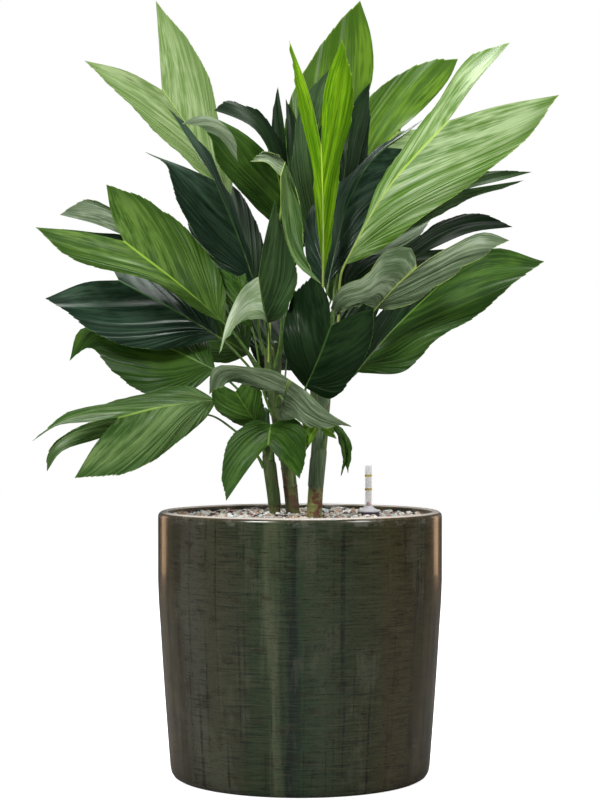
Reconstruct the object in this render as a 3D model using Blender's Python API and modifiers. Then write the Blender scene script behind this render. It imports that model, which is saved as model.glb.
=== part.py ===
"""A potted metallic palm: a glazed pot, granules with a water gauge, five canes and their bifid fronds."""

import math
from dataclasses import dataclass, field

import bmesh
import bpy
import numpy as np

CM = 0.01

# The sizes below are in centimetres.
GAP = 0.03

POT_RADIUS = 16.0
POT_HEIGHT = 29.8
POT_WALL = 1.3
POT_FLOOR = 2.0
POT_SEGMENTS = 44

SOIL_TOP = 29.0
GRANULE_LIFT = 0.08
GRANULE_RELIEF = 0.2
GRANULE_RINGS = 13
SOIL_SEED = 7

GAUGE_ACROSS = 7.75
GAUGE_BACK = 0.5
GAUGE_TOP = 34.85
GAUGE_FOOT = 3.0
GAUGE_BORE = 0.28
GAUGE_SEGMENTS = 12
GAUGE_CONE_TOP = 30.32
GAUGE_RING = 1.24
GAUGE_HOLE = 1.01

BLADE_HALF = 0.04
CROWN = 1.4
PLEAT = 0.05
PLEAT_ACROSS = np.array([0.6, 1.0, 0.0, 1.0, 0.6])
TOOTH = 0.30
RIB_KEEL = 0.12
PETIOLE_WIDE = 0.17
PETIOLE_DEEP = 0.13
PETIOLE_GAP = 0.14
CANE_GAP = 0.16
SHEATH_SPAN = math.radians(20)
SHEATHS_APART = math.radians(8)
SHEATH_LENGTH = 0.8
SHEATH_THICK = 0.12
SHEATH_DEEP = np.array([0.5, 1.0, 1.0, 1.0, 0.5])
SCAR = 0.05
FIRST_SCAR = 1.4
SCAR_STEP = 2.1
LEAN = 0.45

# A petiole has a row at each of these shares of its length, and its bar is thinner towards its two edges.
PETIOLE_STOPS = (0.14, 0.36, 0.62, 0.94)
BAR_ACROSS = np.array([-1.0, -0.6, 0.0, 0.6, 1.0])
BAR_DEEP = np.array([0.35, 0.85, 1.0, 0.85, 0.35])

# Half a centimetre is kept clear between sheets, over and above their own thickness. The leaves are sorted in
# so many rounds, and the petioles and the sheaths are then parted in their own.
CLEAR = 0.50
ROUNDS = 260
PETIOLE_ROUNDS = 150
LEVEL = np.array([1.0, 1.0, 0.35])
SHEATH_ROUNDS = 200
SHORT = 1e-3

# The plant is laid out as an eye in front of it sees it. A place is given as (across, up) on the upright
# plane through the pot's axis and a distance forward of it, and is then pulled along the line of sight.
EYE_DISTANCE = 230.0
EYE_HEIGHT = 42.26


@dataclass
class Cane:
    """A standing stem: its path as (across, up, forward), and its thickness at the foot and the top."""
    name: str
    path: list
    foot: float
    top: float
    colour: tuple


@dataclass
class Frond:
    """A bifid leaf on its petiole, listed by where its parts are seen.

    rib runs from the blade's base to the notch. Each half is its toothed edge from the base to the tip and
    its plain inner edge from the notch to the tip. depths are the distances forward of the base, the notch,
    the first tip and the second tip, and lifts are how far forward each toothed edge lies of a flat blade.
    """
    name: str
    cane: str
    height: float
    depths: tuple
    lifts: tuple
    rib: list
    edges: tuple
    inners: tuple = ((), ())
    teeth: int = 6
    shows: str = "upper"
    colour: tuple = (0.06, 0.16, 0.03)
    bearing: float = 0.0
    grid: object = field(default=None, repr=False)


DARK = (0.014, 0.045, 0.022)
BLUE = (0.03, 0.075, 0.055)
MID = (0.045, 0.14, 0.024)
BRIGHT = (0.09, 0.25, 0.02)
SPEAR = (0.22, 0.38, 0.01)
PALE = (0.22, 0.32, 0.12)
GREY = (0.17, 0.21, 0.12)

CANES = [
    Cane("stem_left", [(-2.8, 24.5, -2.0), (-2.8, 29.2, -2.0), (-3.6, 36.5, -1.6), (-4.0, 41.5, -1.4)],
         0.65, 0.45, (0.03, 0.07, 0.03)),
    Cane("stem_middle", [(-0.8, 24.5, -3.4), (-0.8, 29.3, -3.4), (-1.2, 34.0, -3.4), (-2.5, 40.7, -3.2),
                         (-3.2, 44.0, -3.0), (-3.4, 48.5, -3.0)], 0.78, 0.45, (0.07, 0.10, 0.03)),
    Cane("stem_right", [(1.6, 24.5, 3.0), (1.6, 29.0, 3.0), (2.2, 37.5, 2.8), (2.6, 42.0, 2.5),
                        (2.9, 50.0, 2.2)], 0.86, 0.50, (0.08, 0.12, 0.06)),
    Cane("stem_back_left", [(-1.0, 24.5, -8.0), (-1.0, 29.3, -8.0), (-1.5, 34.0, -8.4), (-2.6, 41.0, -9.2),
                            (-2.8, 49.0, -10.0)], 0.62, 0.45, (0.05, 0.08, 0.03)),
    Cane("stem_back_right", [(1.9, 24.5, -6.5), (1.9, 29.3, -6.5), (2.1, 34.0, -7.0), (1.9, 41.0, -7.8),
                             (1.6, 50.0, -8.6)], 0.62, 0.45, (0.05, 0.08, 0.03)),
]

# From the nearest to the furthest. A name alone is a cane, which is in front of what follows it.
LAYERS = [
    Frond("frond_front_curled", "stem_middle", 41.6, (5.0, 12.0, 13.0, 12.0), (0.6, 0.8),
          [(-1.7, 42.2), (-1.5, 43.6), (-1.1, 44.5)],
          ([(-2.6, 43.4), (-5.7, 43.7), (-7.6, 44.3), (-9.0, 43.6), (-10.25, 42.9)],
           [(-2.4, 40.0), (-0.4, 40.1), (1.2, 39.1), (3.9, 39.2), (5.85, 39.3)]),
          ([(-2.7, 45.4), (-5.7, 45.9), (-9.9, 45.7)], [(0.6, 43.4), (2.9, 41.1)]),
          shows="under", teeth=6, colour=GREY),
    Frond("frond_front_low", "stem_left", 35.6, (3.0, 8.0, 13.0, 13.0), (1.0, 1.0),
          [(-3.3, 39.5), (-3.6, 37.2)],
          ([(-1.4, 40.3), (0.4, 39.4), (0.7, 36.4), (0.55, 34.7), (-0.05, 33.4)],
           [(-5.2, 39.9), (-7.7, 38.5), (-8.7, 35.7), (-8.9, 33.2), (-8.35, 30.8)]),
          ([(-2.65, 36.0)], [(-5.4, 35.0)]), teeth=5, colour=MID),
    Frond("frond_low_bright", "stem_left", 36.2, (1.6, 3.4, 4.6, 4.2), (0.2, 0.6),
          [(-4.6, 39.2), (-6.0, 41.2), (-7.3, 43.2)],
          ([(-6.5, 39.4), (-8.8, 40.4), (-10.0, 42.0), (-10.0, 44.6)],
           [(-4.0, 40.6), (-4.1, 42.2), (-4.6, 43.9), (-5.8, 45.0)]), teeth=5, colour=BRIGHT),
    Frond("frond_low_left", "stem_left", 39.2, (2.0, 8.0, 10.0, 6.0), (2.6, -2.4),
          [(-9.4, 42.2), (-14.8, 41.7), (-20.5, 40.3)],
          ([(-10.8, 40.0), (-13.2, 38.0), (-16.4, 35.4), (-20.7, 33.7), (-25.5, 33.4)],
           [(-12.0, 43.7), (-16.0, 43.3), (-22.0, 41.9), (-27.3, 40.2), (-30.2, 37.6)]),
          ([(-22.9, 37.6)], [(-24.0, 39.8), (-27.5, 39.3)]), teeth=7, colour=MID),
    Frond("frond_folded", "stem_middle", 44.6, (3.0, 7.0, 13.0, 9.0), (1.4, 0.6),
          [(-3.6, 50.9), (-4.3, 53.6), (-4.7, 56.2)],
          ([(-4.1, 51.3), (-5.6, 51.4), (-7.6, 50.4), (-9.05, 47.5)],
           [(-2.2, 51.5), (-0.75, 53.9), (-0.4, 57.2), (-1.4, 60.0), (-2.9, 64.9)]),
          ([(-6.2, 55.2), (-8.0, 52.0)], [(-4.2, 59.6)]), teeth=5, shows="under", colour=PALE),
    Frond("frond_hanging", "stem_middle", 46.6, (6.0, 9.0, 14.0, 9.0), (0.5, 0.4),
          [(-1.7, 69.2), (-2.2, 67.6)],
          ([(-0.6, 66.6), (0.35, 62.0), (0.55, 58.6), (2.4, 55.4)],
           [(-3.0, 70.2), (-4.5, 70.3), (-5.6, 69.35)]),
          ([(-1.9, 62.2), (-0.2, 57.4)], [(-3.8, 69.0)]), teeth=5, shows="under", colour=PALE),
    Frond("frond_small_bright", "stem_right", 39.0, (5.2, 7.4, 9.0, 9.0), (0.4, 0.4),
          [(2.2, 41.2), (2.2, 39.4)],
          ([(3.3, 40.6), (3.8, 39.4), (4.1, 37.95)], [(0.8, 40.4), (0.1, 38.6), (0.65, 36.5)]),
          ([(2.9, 38.3)], [(1.6, 38.0)]), teeth=4, colour=BRIGHT),
    Frond("frond_withered", "stem_right", 36.8, (5.0, 7.0, 8.2, 8.0), (0.2, 0.2),
          [(3.3, 40.0), (4.75, 38.0), (5.3, 36.2), (5.1, 34.9)],
          ([(4.4, 37.7), (4.8, 36.0), (4.6, 33.6)], [(4.3, 39.4), (5.5, 38.0), (5.9, 36.2), (5.4, 34.0)]),
          teeth=4, colour=PALE),
    Frond("frond_centre_dark", "stem_right", 40.4, (5.5, 8.0, 8.2, 12.0), (0.8, 1.0),
          [(0.6, 43.6), (2.2, 47.2), (3.5, 50.6)],
          ([(-1.4, 46.4), (-1.9, 50.6), (-0.7, 54.4), (1.6, 56.6)],
           [(3.3, 42.4), (6.7, 45.7), (8.1, 48.6), (8.4, 52.5)]),
          ([(3.2, 53.6)], [(5.9, 51.9)]), teeth=6, colour=DARK),
    "stem_right",
    Frond("frond_spear", "stem_right", 48.2, (3.4, 4.6, 5.4, 5.2), (-2.6, -2.6),
          [(2.6, 55.6), (2.6, 63.0), (2.4, 71.0)],
          ([(2.0, 62.4), (1.45, 68.6), (-0.3, 76.4), (-1.3, 82.9)],
           [(3.8, 62.4), (4.5, 68.8), (6.1, 77.6), (4.75, 83.0)]),
          ([(0.9, 77.2)], [(2.9, 78.0)]), teeth=7, colour=SPEAR),
    Frond("frond_arching", "stem_middle", 45.8, (1.0, 5.0, 13.0, 3.0), (2.4, -1.6),
          [(-2.4, 61.6), (-2.1, 65.8), (-2.9, 69.2)],
          ([(-4.8, 63.8), (-7.4, 66.5), (-9.8, 69.8), (-10.2, 72.0), (-11.2, 73.0), (-13.3, 73.5)],
           [(-1.3, 66.0), (-2.0, 71.5), (-5.0, 75.0), (-8.7, 76.0), (-9.75, 74.9)]),
          ([(-4.6, 71.0), (-7.9, 73.3), (-11.5, 74.4)], [(-5.4, 73.0), (-8.2, 74.4)]), teeth=6, colour=MID),
    "stem_left",
    Frond("frond_left", "stem_middle", 43.6, (1.0, 3.0, 7.0, 1.0), (1.8, -1.8),
          [(-8.5, 50.9), (-12.9, 54.7), (-19.9, 60.2)],
          ([(-11.6, 52.4), (-16.1, 55.4), (-21.8, 57.0), (-26.5, 58.5), (-29.9, 61.75)],
           [(-8.4, 54.6), (-10.9, 59.4), (-14.2, 62.9), (-18.7, 65.7), (-21.9, 66.6)]),
          ([(-24.7, 61.3)], [(-21.1, 62.8)]), teeth=7, colour=BRIGHT),
    "stem_middle",
    Frond("frond_right_grey", "stem_right", 44.2, (3.0, 6.0, 6.0, 9.0), (1.6, 1.4),
          [(8.5, 52.6), (10.8, 55.1), (13.2, 57.2)],
          ([(7.0, 53.1), (5.2, 52.4), (4.0, 51.8), (3.4, 52.6)],
           [(10.0, 52.4), (14.0, 54.1), (18.0, 56.8), (20.8, 58.5), (23.65, 60.3)]),
          ([(12.7, 59.3), (9.9, 59.3), (7.4, 56.2), (4.6, 55.0)], [(16.6, 59.4), (21.3, 61.2)]),
          teeth=6, shows="under", colour=GREY),
    Frond("frond_right", "stem_right", 47.2, (2.0, 3.5, -1.0, 5.0), (-4.0, 2.4),
          [(4.9, 57.4), (9.9, 66.2), (16.7, 73.8)],
          ([(7.0, 61.8), (10.6, 69.2), (15.2, 75.4), (19.4, 81.2), (23.7, 82.65)],
           [(8.6, 58.9), (13.8, 62.8), (20.0, 67.1), (25.9, 72.1), (29.3, 76.7)]),
          ([(20.6, 79.3)], [(22.4, 75.5)]), teeth=8, colour=BRIGHT),
    Frond("frond_left_inner", "stem_middle", 40.6, (-1.6, -1.2, -1.0, -1.4), (0.3, 0.3),
          [(-5.4, 50.4), (-6.4, 53.4), (-7.0, 56.2)],
          ([(-7.6, 51.6), (-8.8, 54.4), (-9.2, 57.2)], [(-5.3, 52.6), (-5.7, 55.0), (-6.1, 56.6)]),
          teeth=4, colour=MID),
    Frond("frond_upper_left", "stem_middle", 47.4, (-3.0, -1.0, 4.0, -5.0), (1.8, -3.0),
          [(-5.0, 55.0), (-7.0, 60.8), (-9.6, 67.0)],
          ([(-8.6, 57.2), (-11.7, 60.6), (-14.4, 66.0), (-15.6, 69.4), (-17.4, 70.3)],
           [(-6.3, 60.7), (-7.8, 65.0), (-11.6, 72.0), (-15.0, 75.1)]),
          ([(-12.9, 68.5)], [(-12.2, 71.0)]), teeth=6, colour=BLUE),
    Frond("frond_left_glossy", "stem_middle", 42.6, (-2.0, -1.0, 1.0, -5.0), (2.2, -2.6),
          [(-9.2, 49.4), (-14.3, 52.5), (-20.5, 55.8)],
          ([(-11.5, 48.7), (-16.0, 47.9), (-22.0, 49.1), (-26.4, 52.0), (-28.8, 53.7)],
           [(-10.0, 52.0), (-14.0, 55.6), (-18.0, 57.4), (-21.7, 57.6)]),
          ([(-24.0, 55.6)], ()), teeth=7, colour=BLUE),
    Frond("frond_left_striped", "stem_left", 40.0, (-0.5, -3.0, -4.0, -9.0), (1.8, -2.2),
          [(-9.5, 45.6), (-13.5, 47.6), (-18.0, 49.4)],
          ([(-12.5, 43.2), (-17.1, 42.7), (-21.1, 45.3), (-24.0, 48.1), (-26.0, 46.7)],
           [(-10.5, 49.0), (-15.0, 51.8), (-20.0, 52.8)]),
          ([(-22.0, 50.6), (-24.8, 50.2)], ()), teeth=6, colour=MID),
    Frond("frond_low_left_pale", "stem_left", 34.6, (0.0, 1.0, 2.0, 2.0), (0.6, -0.4),
          [(-10.6, 40.7), (-15.0, 40.3), (-19.0, 39.0)],
          ([(-14.0, 39.2), (-18.0, 37.0), (-22.4, 35.6)],
           [(-14.0, 41.6), (-20.0, 40.6), (-25.4, 39.1), (-28.7, 36.0), (-28.6, 34.2)]),
          ((), [(-23.5, 37.6), (-27.2, 36.2)]), teeth=5, shows="under", colour=PALE),
    Frond("frond_blue_rib", "stem_right", 45.2, (0.0, -2.5, -6.0, -3.5), (0.8, 1.0),
          [(3.1, 55.0), (4.2, 60.0), (5.6, 65.0), (7.8, 69.0), (9.6, 70.8)],
          ([(1.6, 55.6), (0.7, 58.2), (1.0, 63.6), (4.6, 67.0), (9.0, 70.9), (13.8, 73.9)],
           [(6.0, 59.2), (9.0, 64.0), (12.4, 67.6), (14.6, 70.4)]),
          teeth=6, colour=BLUE),
    Frond("frond_upright", "stem_right", 46.2, (-1.2, -3.4, -6.0, -5.5), (-1.0, -0.6),
          [(3.9, 58.0), (4.6, 64.0), (5.3, 70.4)],
          ([(2.7, 62.6), (2.9, 71.0), (4.1, 75.2), (5.2, 77.0)],
           [(6.2, 62.0), (7.4, 67.4), (7.9, 72.6), (7.9, 78.1)]),
          ((), [(6.4, 76.4)]), teeth=6, colour=DARK),
    Frond("frond_upright_grey", "stem_back_right", 47.8, (-6.0, -7.0, -9.0, -10.0), (0.6, -0.5),
          [(1.4, 59.0), (1.7, 65.5), (1.9, 72.4)],
          ([(-0.4, 64.0), (-0.8, 71.0), (0.7, 77.0), (3.3, 79.7)],
           [(3.6, 66.0), (4.6, 73.6), (4.9, 78.0)]), teeth=5, colour=GREY),
    Frond("frond_centre_back", "stem_back_left", 47.0, (-7.5, -9.0, -13.0, -11.0), (-0.6, 0.6),
          [(-0.6, 57.0), (-0.8, 63.6), (-1.5, 70.6)],
          ([(-2.7, 62.4), (-3.7, 69.2), (-3.2, 73.8), (-2.45, 77.6)],
           [(1.2, 62.4), (1.4, 67.2), (0.3, 72.0), (-1.6, 76.3)]), teeth=5, colour=DARK),
    Frond("frond_right_dark", "stem_back_right", 44.4, (-5.0, -9.0, -14.0, -12.0), (-1.0, 0.8),
          [(4.6, 53.4), (9.0, 56.4), (14.6, 59.2)],
          ([(4.5, 56.8), (8.3, 58.7), (11.4, 59.3), (16.6, 62.9), (21.0, 63.2), (24.0, 61.8)],
           [(8.4, 53.4), (13.0, 56.0), (18.0, 59.4)]),
          ([(19.4, 61.2)], ()), teeth=6, colour=DARK),
    Frond("frond_lower_right", "stem_right", 42.4, (-0.5, -1.5, -7.0, 0.5), (-2.4, 2.8),
          [(6.3, 45.3), (10.4, 50.1), (17.2, 56.6)],
          ([(7.2, 49.6), (10.5, 54.0), (15.0, 57.7), (20.4, 60.0)],
           [(12.2, 45.6), (15.4, 49.0), (19.2, 51.2), (24.3, 55.4), (27.6, 57.9)]),
          ((), [(21.6, 59.4)]), teeth=7, colour=MID),
    Frond("frond_right_narrow", "stem_back_right", 46.0, (-6.0, -8.0, -11.0, -10.0), (-0.8, 0.6),
          [(6.0, 59.0), (11.0, 62.0), (18.0, 66.0)],
          ([(7.2, 61.0), (12.0, 65.0), (18.0, 67.8), (23.4, 68.2), (26.2, 68.0)],
           [(9.0, 59.7), (13.8, 62.2), (20.0, 65.2), (25.3, 67.1)]), teeth=5, shows="under", colour=GREY),
    Frond("frond_upper_right", "stem_back_right", 47.0, (-8.0, -11.0, -17.0, -14.0), (-1.6, 1.2),
          [(4.6, 59.0), (6.0, 64.6), (8.2, 69.4), (11.0, 72.6)],
          ([(4.4, 66.0), (6.2, 74.6), (11.0, 79.0), (15.0, 80.8), (17.8, 80.7)],
           [(8.0, 62.6), (13.0, 66.4), (18.0, 70.4), (20.4, 73.6)]),
          ([(14.6, 75.8), (17.0, 78.8)], ()), teeth=6, colour=BRIGHT),
    Frond("frond_top", "stem_back_right", 48.6, (-9.5, -12.0, -15.0, -19.0), (0.8, -0.8),
          [(1.8, 60.0), (4.2, 67.4), (6.6, 73.6)],
          ([(-1.6, 68.0), (-1.2, 76.2), (1.4, 81.0), (4.6, 85.4), (6.8, 87.4)],
           [(6.4, 63.6), (10.0, 69.0), (12.4, 76.4)]),
          ([(8.3, 79.4), (8.0, 83.6)], ()), teeth=6, colour=BRIGHT),
    Frond("frond_top_left", "stem_back_left", 46.2, (-9.0, -12.0, -13.0, -17.0), (1.0, -0.8),
          [(-7.8, 64.8), (-11.0, 70.4), (-15.6, 77.3)],
          ([(-10.4, 66.8), (-14.3, 70.8), (-17.6, 73.9), (-20.9, 77.1), (-24.35, 80.6)],
           [(-7.6, 67.4), (-9.0, 73.0), (-10.2, 78.6), (-12.6, 83.0), (-16.3, 87.3)]),
          ([(-19.3, 79.3)], [(-15.9, 82.0)]), teeth=7, shows="under", colour=PALE),
    Frond("frond_left_pale", "stem_back_left", 42.6, (-9.0, -11.0, -14.0, -13.0), (0.6, -0.6),
          [(-10.0, 53.6), (-13.8, 57.8), (-17.0, 60.2), (-20.0, 60.9)],
          ([(-13.0, 54.6), (-17.6, 57.4), (-23.0, 60.0), (-27.0, 61.6)],
           [(-11.4, 58.6), (-15.4, 62.0), (-20.4, 63.6), (-24.6, 65.0), (-27.15, 63.2)]),
          ((), [(-23.0, 62.1)]), teeth=5, shows="under", colour=PALE),
    "stem_back_right",
    "stem_back_left",
    Frond("frond_back_right", "stem_back_right", 43.2, (-13.0, -18.0, -24.0, -22.0), (-1.0, 1.0),
          [(3.4, 53.4), (5.4, 56.6), (8.0, 60.2)],
          ([(2.4, 56.4), (4.6, 61.6), (7.6, 64.8), (11.6, 66.4)],
           [(6.6, 54.6), (10.0, 57.4), (13.4, 60.4), (15.0, 63.0)]), teeth=5, colour=MID),
    Frond("frond_back_left", "stem_back_left", 44.6, (-13.5, -18.0, -23.0, -24.5), (1.0, -1.0),
          [(-4.6, 53.2), (-6.6, 56.6), (-9.0, 60.4)],
          ([(-7.8, 54.8), (-10.6, 58.2), (-12.6, 61.6), (-13.0, 64.0)],
           [(-3.4, 57.0), (-4.6, 61.6), (-6.4, 65.2), (-8.6, 67.4)]), teeth=5, colour=DARK),
    Frond("frond_back_top", "stem_back_left", 47.8, (-14.0, -18.0, -22.0, -22.0), (0.6, 0.6),
          [(-0.4, 59.0), (-0.3, 62.6), (-0.2, 66.0)],
          ([(-3.0, 61.0), (-3.6, 65.6), (-2.8, 69.4), (-2.0, 72.0)],
           [(2.4, 61.0), (3.4, 65.6), (3.0, 69.6), (2.6, 72.4)]), teeth=5, colour=MID),
    Frond("frond_back_low_left", "stem_back_left", 40.8, (-14.0, -19.0, -24.0, -26.0), (1.2, -1.0),
          [(-5.8, 47.4), (-8.0, 48.8), (-10.6, 50.0)],
          ([(-8.6, 46.4), (-11.6, 47.0), (-14.2, 48.2), (-16.0, 49.6)],
           [(-5.6, 50.6), (-7.6, 53.2), (-10.4, 54.8), (-12.6, 55.4)]), teeth=5, colour=MID),
    Frond("frond_back_low_right", "stem_back_right", 41.8, (-14.0, -19.0, -25.0, -24.0), (-1.0, 1.2),
          [(3.2, 48.0), (5.4, 49.2), (7.8, 50.0)],
          ([(2.6, 51.0), (4.6, 53.2), (7.4, 54.4), (9.8, 54.6)],
           [(6.0, 46.6), (9.0, 46.8), (11.6, 48.0), (13.4, 49.6)]), teeth=5, colour=DARK),
    Frond("frond_back_centre", "stem_back_left", 39.6, (-15.0, -20.0, -26.0, -26.0), (0.8, 0.8),
          [(-1.6, 45.6), (-1.4, 48.4), (-1.2, 51.4)],
          ([(-4.2, 45.8), (-5.9, 48.6), (-5.6, 52.4), (-4.0, 55.0)],
           [(1.2, 45.8), (3.0, 48.6), (3.2, 52.4), (2.2, 55.4)]), teeth=5, colour=DARK),
]


def start():
    """Empty the scene and give the collections for the part and for its cutters."""
    for thing in list(bpy.data.objects):
        bpy.data.objects.remove(thing, do_unlink=True)
    part = bpy.data.collections.new("potted_metallic_palm")
    cutters = bpy.data.collections.new("cutters")
    bpy.context.scene.collection.children.link(part)
    bpy.context.scene.collection.children.link(cutters)
    return part, cutters


def finish_with(thing, colour, roughness, metallic=0.0):
    """Give an object its own Principled material."""
    material = bpy.data.materials.new(thing.name)
    material.use_nodes = True
    shader = material.node_tree.nodes["Principled BSDF"]
    shader.inputs["Base Color"].default_value = (*colour, 1.0)
    shader.inputs["Roughness"].default_value = roughness
    shader.inputs["Metallic"].default_value = metallic
    thing.data.materials.append(material)


def pulled(points):
    """Bring (across, forward, up) places in centimetres to metres along the line of sight."""
    points = np.asarray(points, float)
    across, forward, up = points[..., 0], points[..., 1], points[..., 2]
    nearer = (EYE_DISTANCE - forward) / EYE_DISTANCE
    return np.stack([across * nearer, -forward, EYE_HEIGHT + (up - EYE_HEIGHT) * nearer], axis=-1) * CM


def curve_through(points, places):
    """Read a smooth curve through the points at shares of its length."""
    points = np.array(points, float)
    spans = np.linalg.norm(np.diff(points, axis=0), axis=1)
    knots = np.concatenate([[0.0], np.cumsum(spans)]) / spans.sum()
    slopes = np.gradient(points, knots, axis=0)
    places = np.clip(np.asarray(places, float), 0.0, 1.0)
    first = np.clip(np.searchsorted(knots, places, "right") - 1, 0, len(knots) - 2)
    width = knots[first + 1] - knots[first]
    s = ((places - knots[first]) / width)[:, None]
    width = width[:, None]
    return ((2 * s**3 - 3 * s**2 + 1) * points[first] + (s**3 - 2 * s**2 + s) * width * slopes[first]
            + (3 * s**2 - 2 * s**3) * points[first + 1] + (s**3 - s**2) * width * slopes[first + 1])


def unit(vectors):
    """Scale vectors to a length of one."""
    vectors = np.asarray(vectors, float)
    return vectors / np.maximum(np.linalg.norm(vectors, axis=-1, keepdims=True), 1e-9)


def cane_at(cane, height):
    """Give the middle and the radius of a cane at a height."""
    path = np.array(cane.path)
    line = curve_through(path[:, [0, 2, 1]], np.linspace(0.0, 1.0, 60))
    middle = np.array([np.interp(height, line[:, 2], line[:, k]) for k in range(3)])
    share = (height - SOIL_TOP) / (path[-1, 1] - SOIL_TOP)
    return middle, np.interp(share, [0.0, 1.0], [cane.foot, cane.top])


def half_blade(frond, side, along, out):
    """Lay out one half of a blade as (across, forward, up) for each place along it and out from the rib."""
    tip = frond.edges[side][-1]
    rib = curve_through(frond.rib, along)
    edge = curve_through([frond.rib[0], *frond.edges[side]], along)
    inner = curve_through([frond.rib[-1], *frond.inners[side], tip], out)
    straight = np.array(frond.rib[-1]) + np.outer(out, np.subtract(tip, frond.rib[-1]))
    u = along[:, None]
    v = out[None, :]
    seen = rib[:, None] + (edge - rib)[:, None] * v[..., None] + (u**3)[..., None] * (inner - straight)[None]
    base, notch = frond.depths[:2]
    end = frond.depths[2 + side]
    rib_depth = base + (notch - base) * u
    edge_depth = base + (end - base) * u**1.3 + frond.lifts[side] * np.sin(np.pi * u)
    crown = (1.0 if frond.shows == "upper" else -1.0) * CROWN * np.sin(np.pi * u) * v * (1 - v)
    depth = rib_depth + (edge_depth - rib_depth) * v + crown
    return np.stack([seen[..., 0], depth, seen[..., 1]], axis=-1)


def blade_grid(frond):
    """Lay out both halves from the first toothed edge over the rib to the second one."""
    rows = 2 * frond.teeth
    along = np.linspace(0.0, 1.0, rows + 1)[1:]
    out = np.array([0.0, 0.55, 1.0])
    first = half_blade(frond, 0, along, out)
    second = half_blade(frond, 1, along, out)
    for half in (first, second):
        inward = half[:, 1] - half[:, 2]
        length = np.linalg.norm(inward, axis=-1, keepdims=True)
        cut = np.where(np.arange(rows) % 2 == 0, TOOTH, 0.0)[:, None]
        half[:, 2] += inward * np.minimum(cut / np.maximum(length, 1e-6), 0.3)
    return np.concatenate([first[:, :0:-1], second], axis=1)


def share_out_bearings(fronds, canes):
    """Turn each sheath round its cane towards its blade, and apart from the sheaths near it."""
    apart = 2 * SHEATH_SPAN + SHEATHS_APART
    for cane in canes.values():
        group = [frond for frond in fronds if frond.cane == cane.name]
        for frond in group:
            middle, _ = cane_at(cane, frond.height)
            frond.bearing = math.atan2(frond.rib[0][0] - middle[0], frond.depths[0] - middle[1])
        for _ in range(SHEATH_ROUNDS):
            for k, one in enumerate(group):
                for other in group[k + 1:]:
                    turn = math.remainder(other.bearing - one.bearing, math.tau)
                    near = abs(other.height - one.height) < 2 * SHEATH_LENGTH + 0.3
                    if near and abs(turn) < apart:
                        push = 0.5 * (apart - abs(turn)) * (1 if turn >= 0 else -1)
                        one.bearing -= 0.5 * push
                        other.bearing += 0.5 * push


def bezier_at(points, t):
    """Read a cubic Bezier curve at each t."""
    t = np.asarray(t, float)[:, None]
    a, b, c, d = points
    return (1 - t)**3 * a + 3 * (1 - t)**2 * t * b + 3 * (1 - t) * t**2 * c + t**3 * d


def lay_out(frond, canes):
    """Give a frond its middle surface: two sheath rows, the petiole's rows, then the blade's."""
    cane = canes[frond.cane]
    blade = blade_grid(frond)
    base = np.array([frond.rib[0][0], frond.depths[0], frond.rib[0][1]])
    outward = np.array([math.sin(frond.bearing), math.cos(frond.bearing), 0.0])
    around = np.array([math.cos(frond.bearing), -math.sin(frond.bearing), 0.0])
    across = unit(blade[0, 3] - blade[0, 1])
    turn = 1.0 if np.dot(around, across) >= 0 else -1.0
    rows = []
    for drop in (SHEATH_LENGTH, 0.0):
        middle, radius = cane_at(cane, frond.height - drop)
        ring = radius + SCAR + GAP + SHEATH_THICK / 2
        angles = frond.bearing + turn * BAR_ACROSS * SHEATH_SPAN
        rows.append(middle + ring * np.stack([np.sin(angles), np.cos(angles), 0 * angles], axis=-1))
    foot = middle + outward * ring
    reach = np.linalg.norm(base - foot)
    leaving = unit(np.array([0.0, 0.0, 1.0]) + LEAN * outward)
    arriving = 0.5 * unit(blade[1, 2] - base) + 0.5 * unit(base - foot)
    bezier = [foot, foot + 0.35 * reach * leaving, base - 0.3 * reach * arriving, base]
    for stop, place in zip(PETIOLE_STOPS, bezier_at(bezier, PETIOLE_STOPS)):
        level = unit(turn * around * (1 - stop) + across * stop)
        rows.append(place + np.outer(BAR_ACROSS * PETIOLE_WIDE, level))
    frond.grid = np.concatenate([np.array(rows), blade], axis=0)


def push_apart(spots, owner, far):
    """Push points of different petioles level and apart where they are too near."""
    away = spots[:, None] - spots[None]
    distance = np.linalg.norm(away, axis=-1)
    one, other = np.nonzero((distance < far) & (owner[:, None] != owner[None]))
    gap = distance[one, other][:, None]
    push = np.zeros_like(spots)
    np.add.at(push, one, 0.25 * away[one, other] * LEVEL * (far - gap) / np.maximum(gap, SHORT))
    return push


def push_off(spots, posts, need):
    """Push points level and away from the canes' middles where they are nearer than they need to be."""
    away = spots[:, None] - posts[None]
    distance = np.linalg.norm(away, axis=-1)
    one, other = np.nonzero(distance < need)
    gap = distance[one, other][:, None]
    short = need[one, other][:, None] - gap
    push = np.zeros_like(spots)
    np.add.at(push, one, 0.3 * away[one, other] * LEVEL * short / np.maximum(gap, SHORT))
    return push


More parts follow.
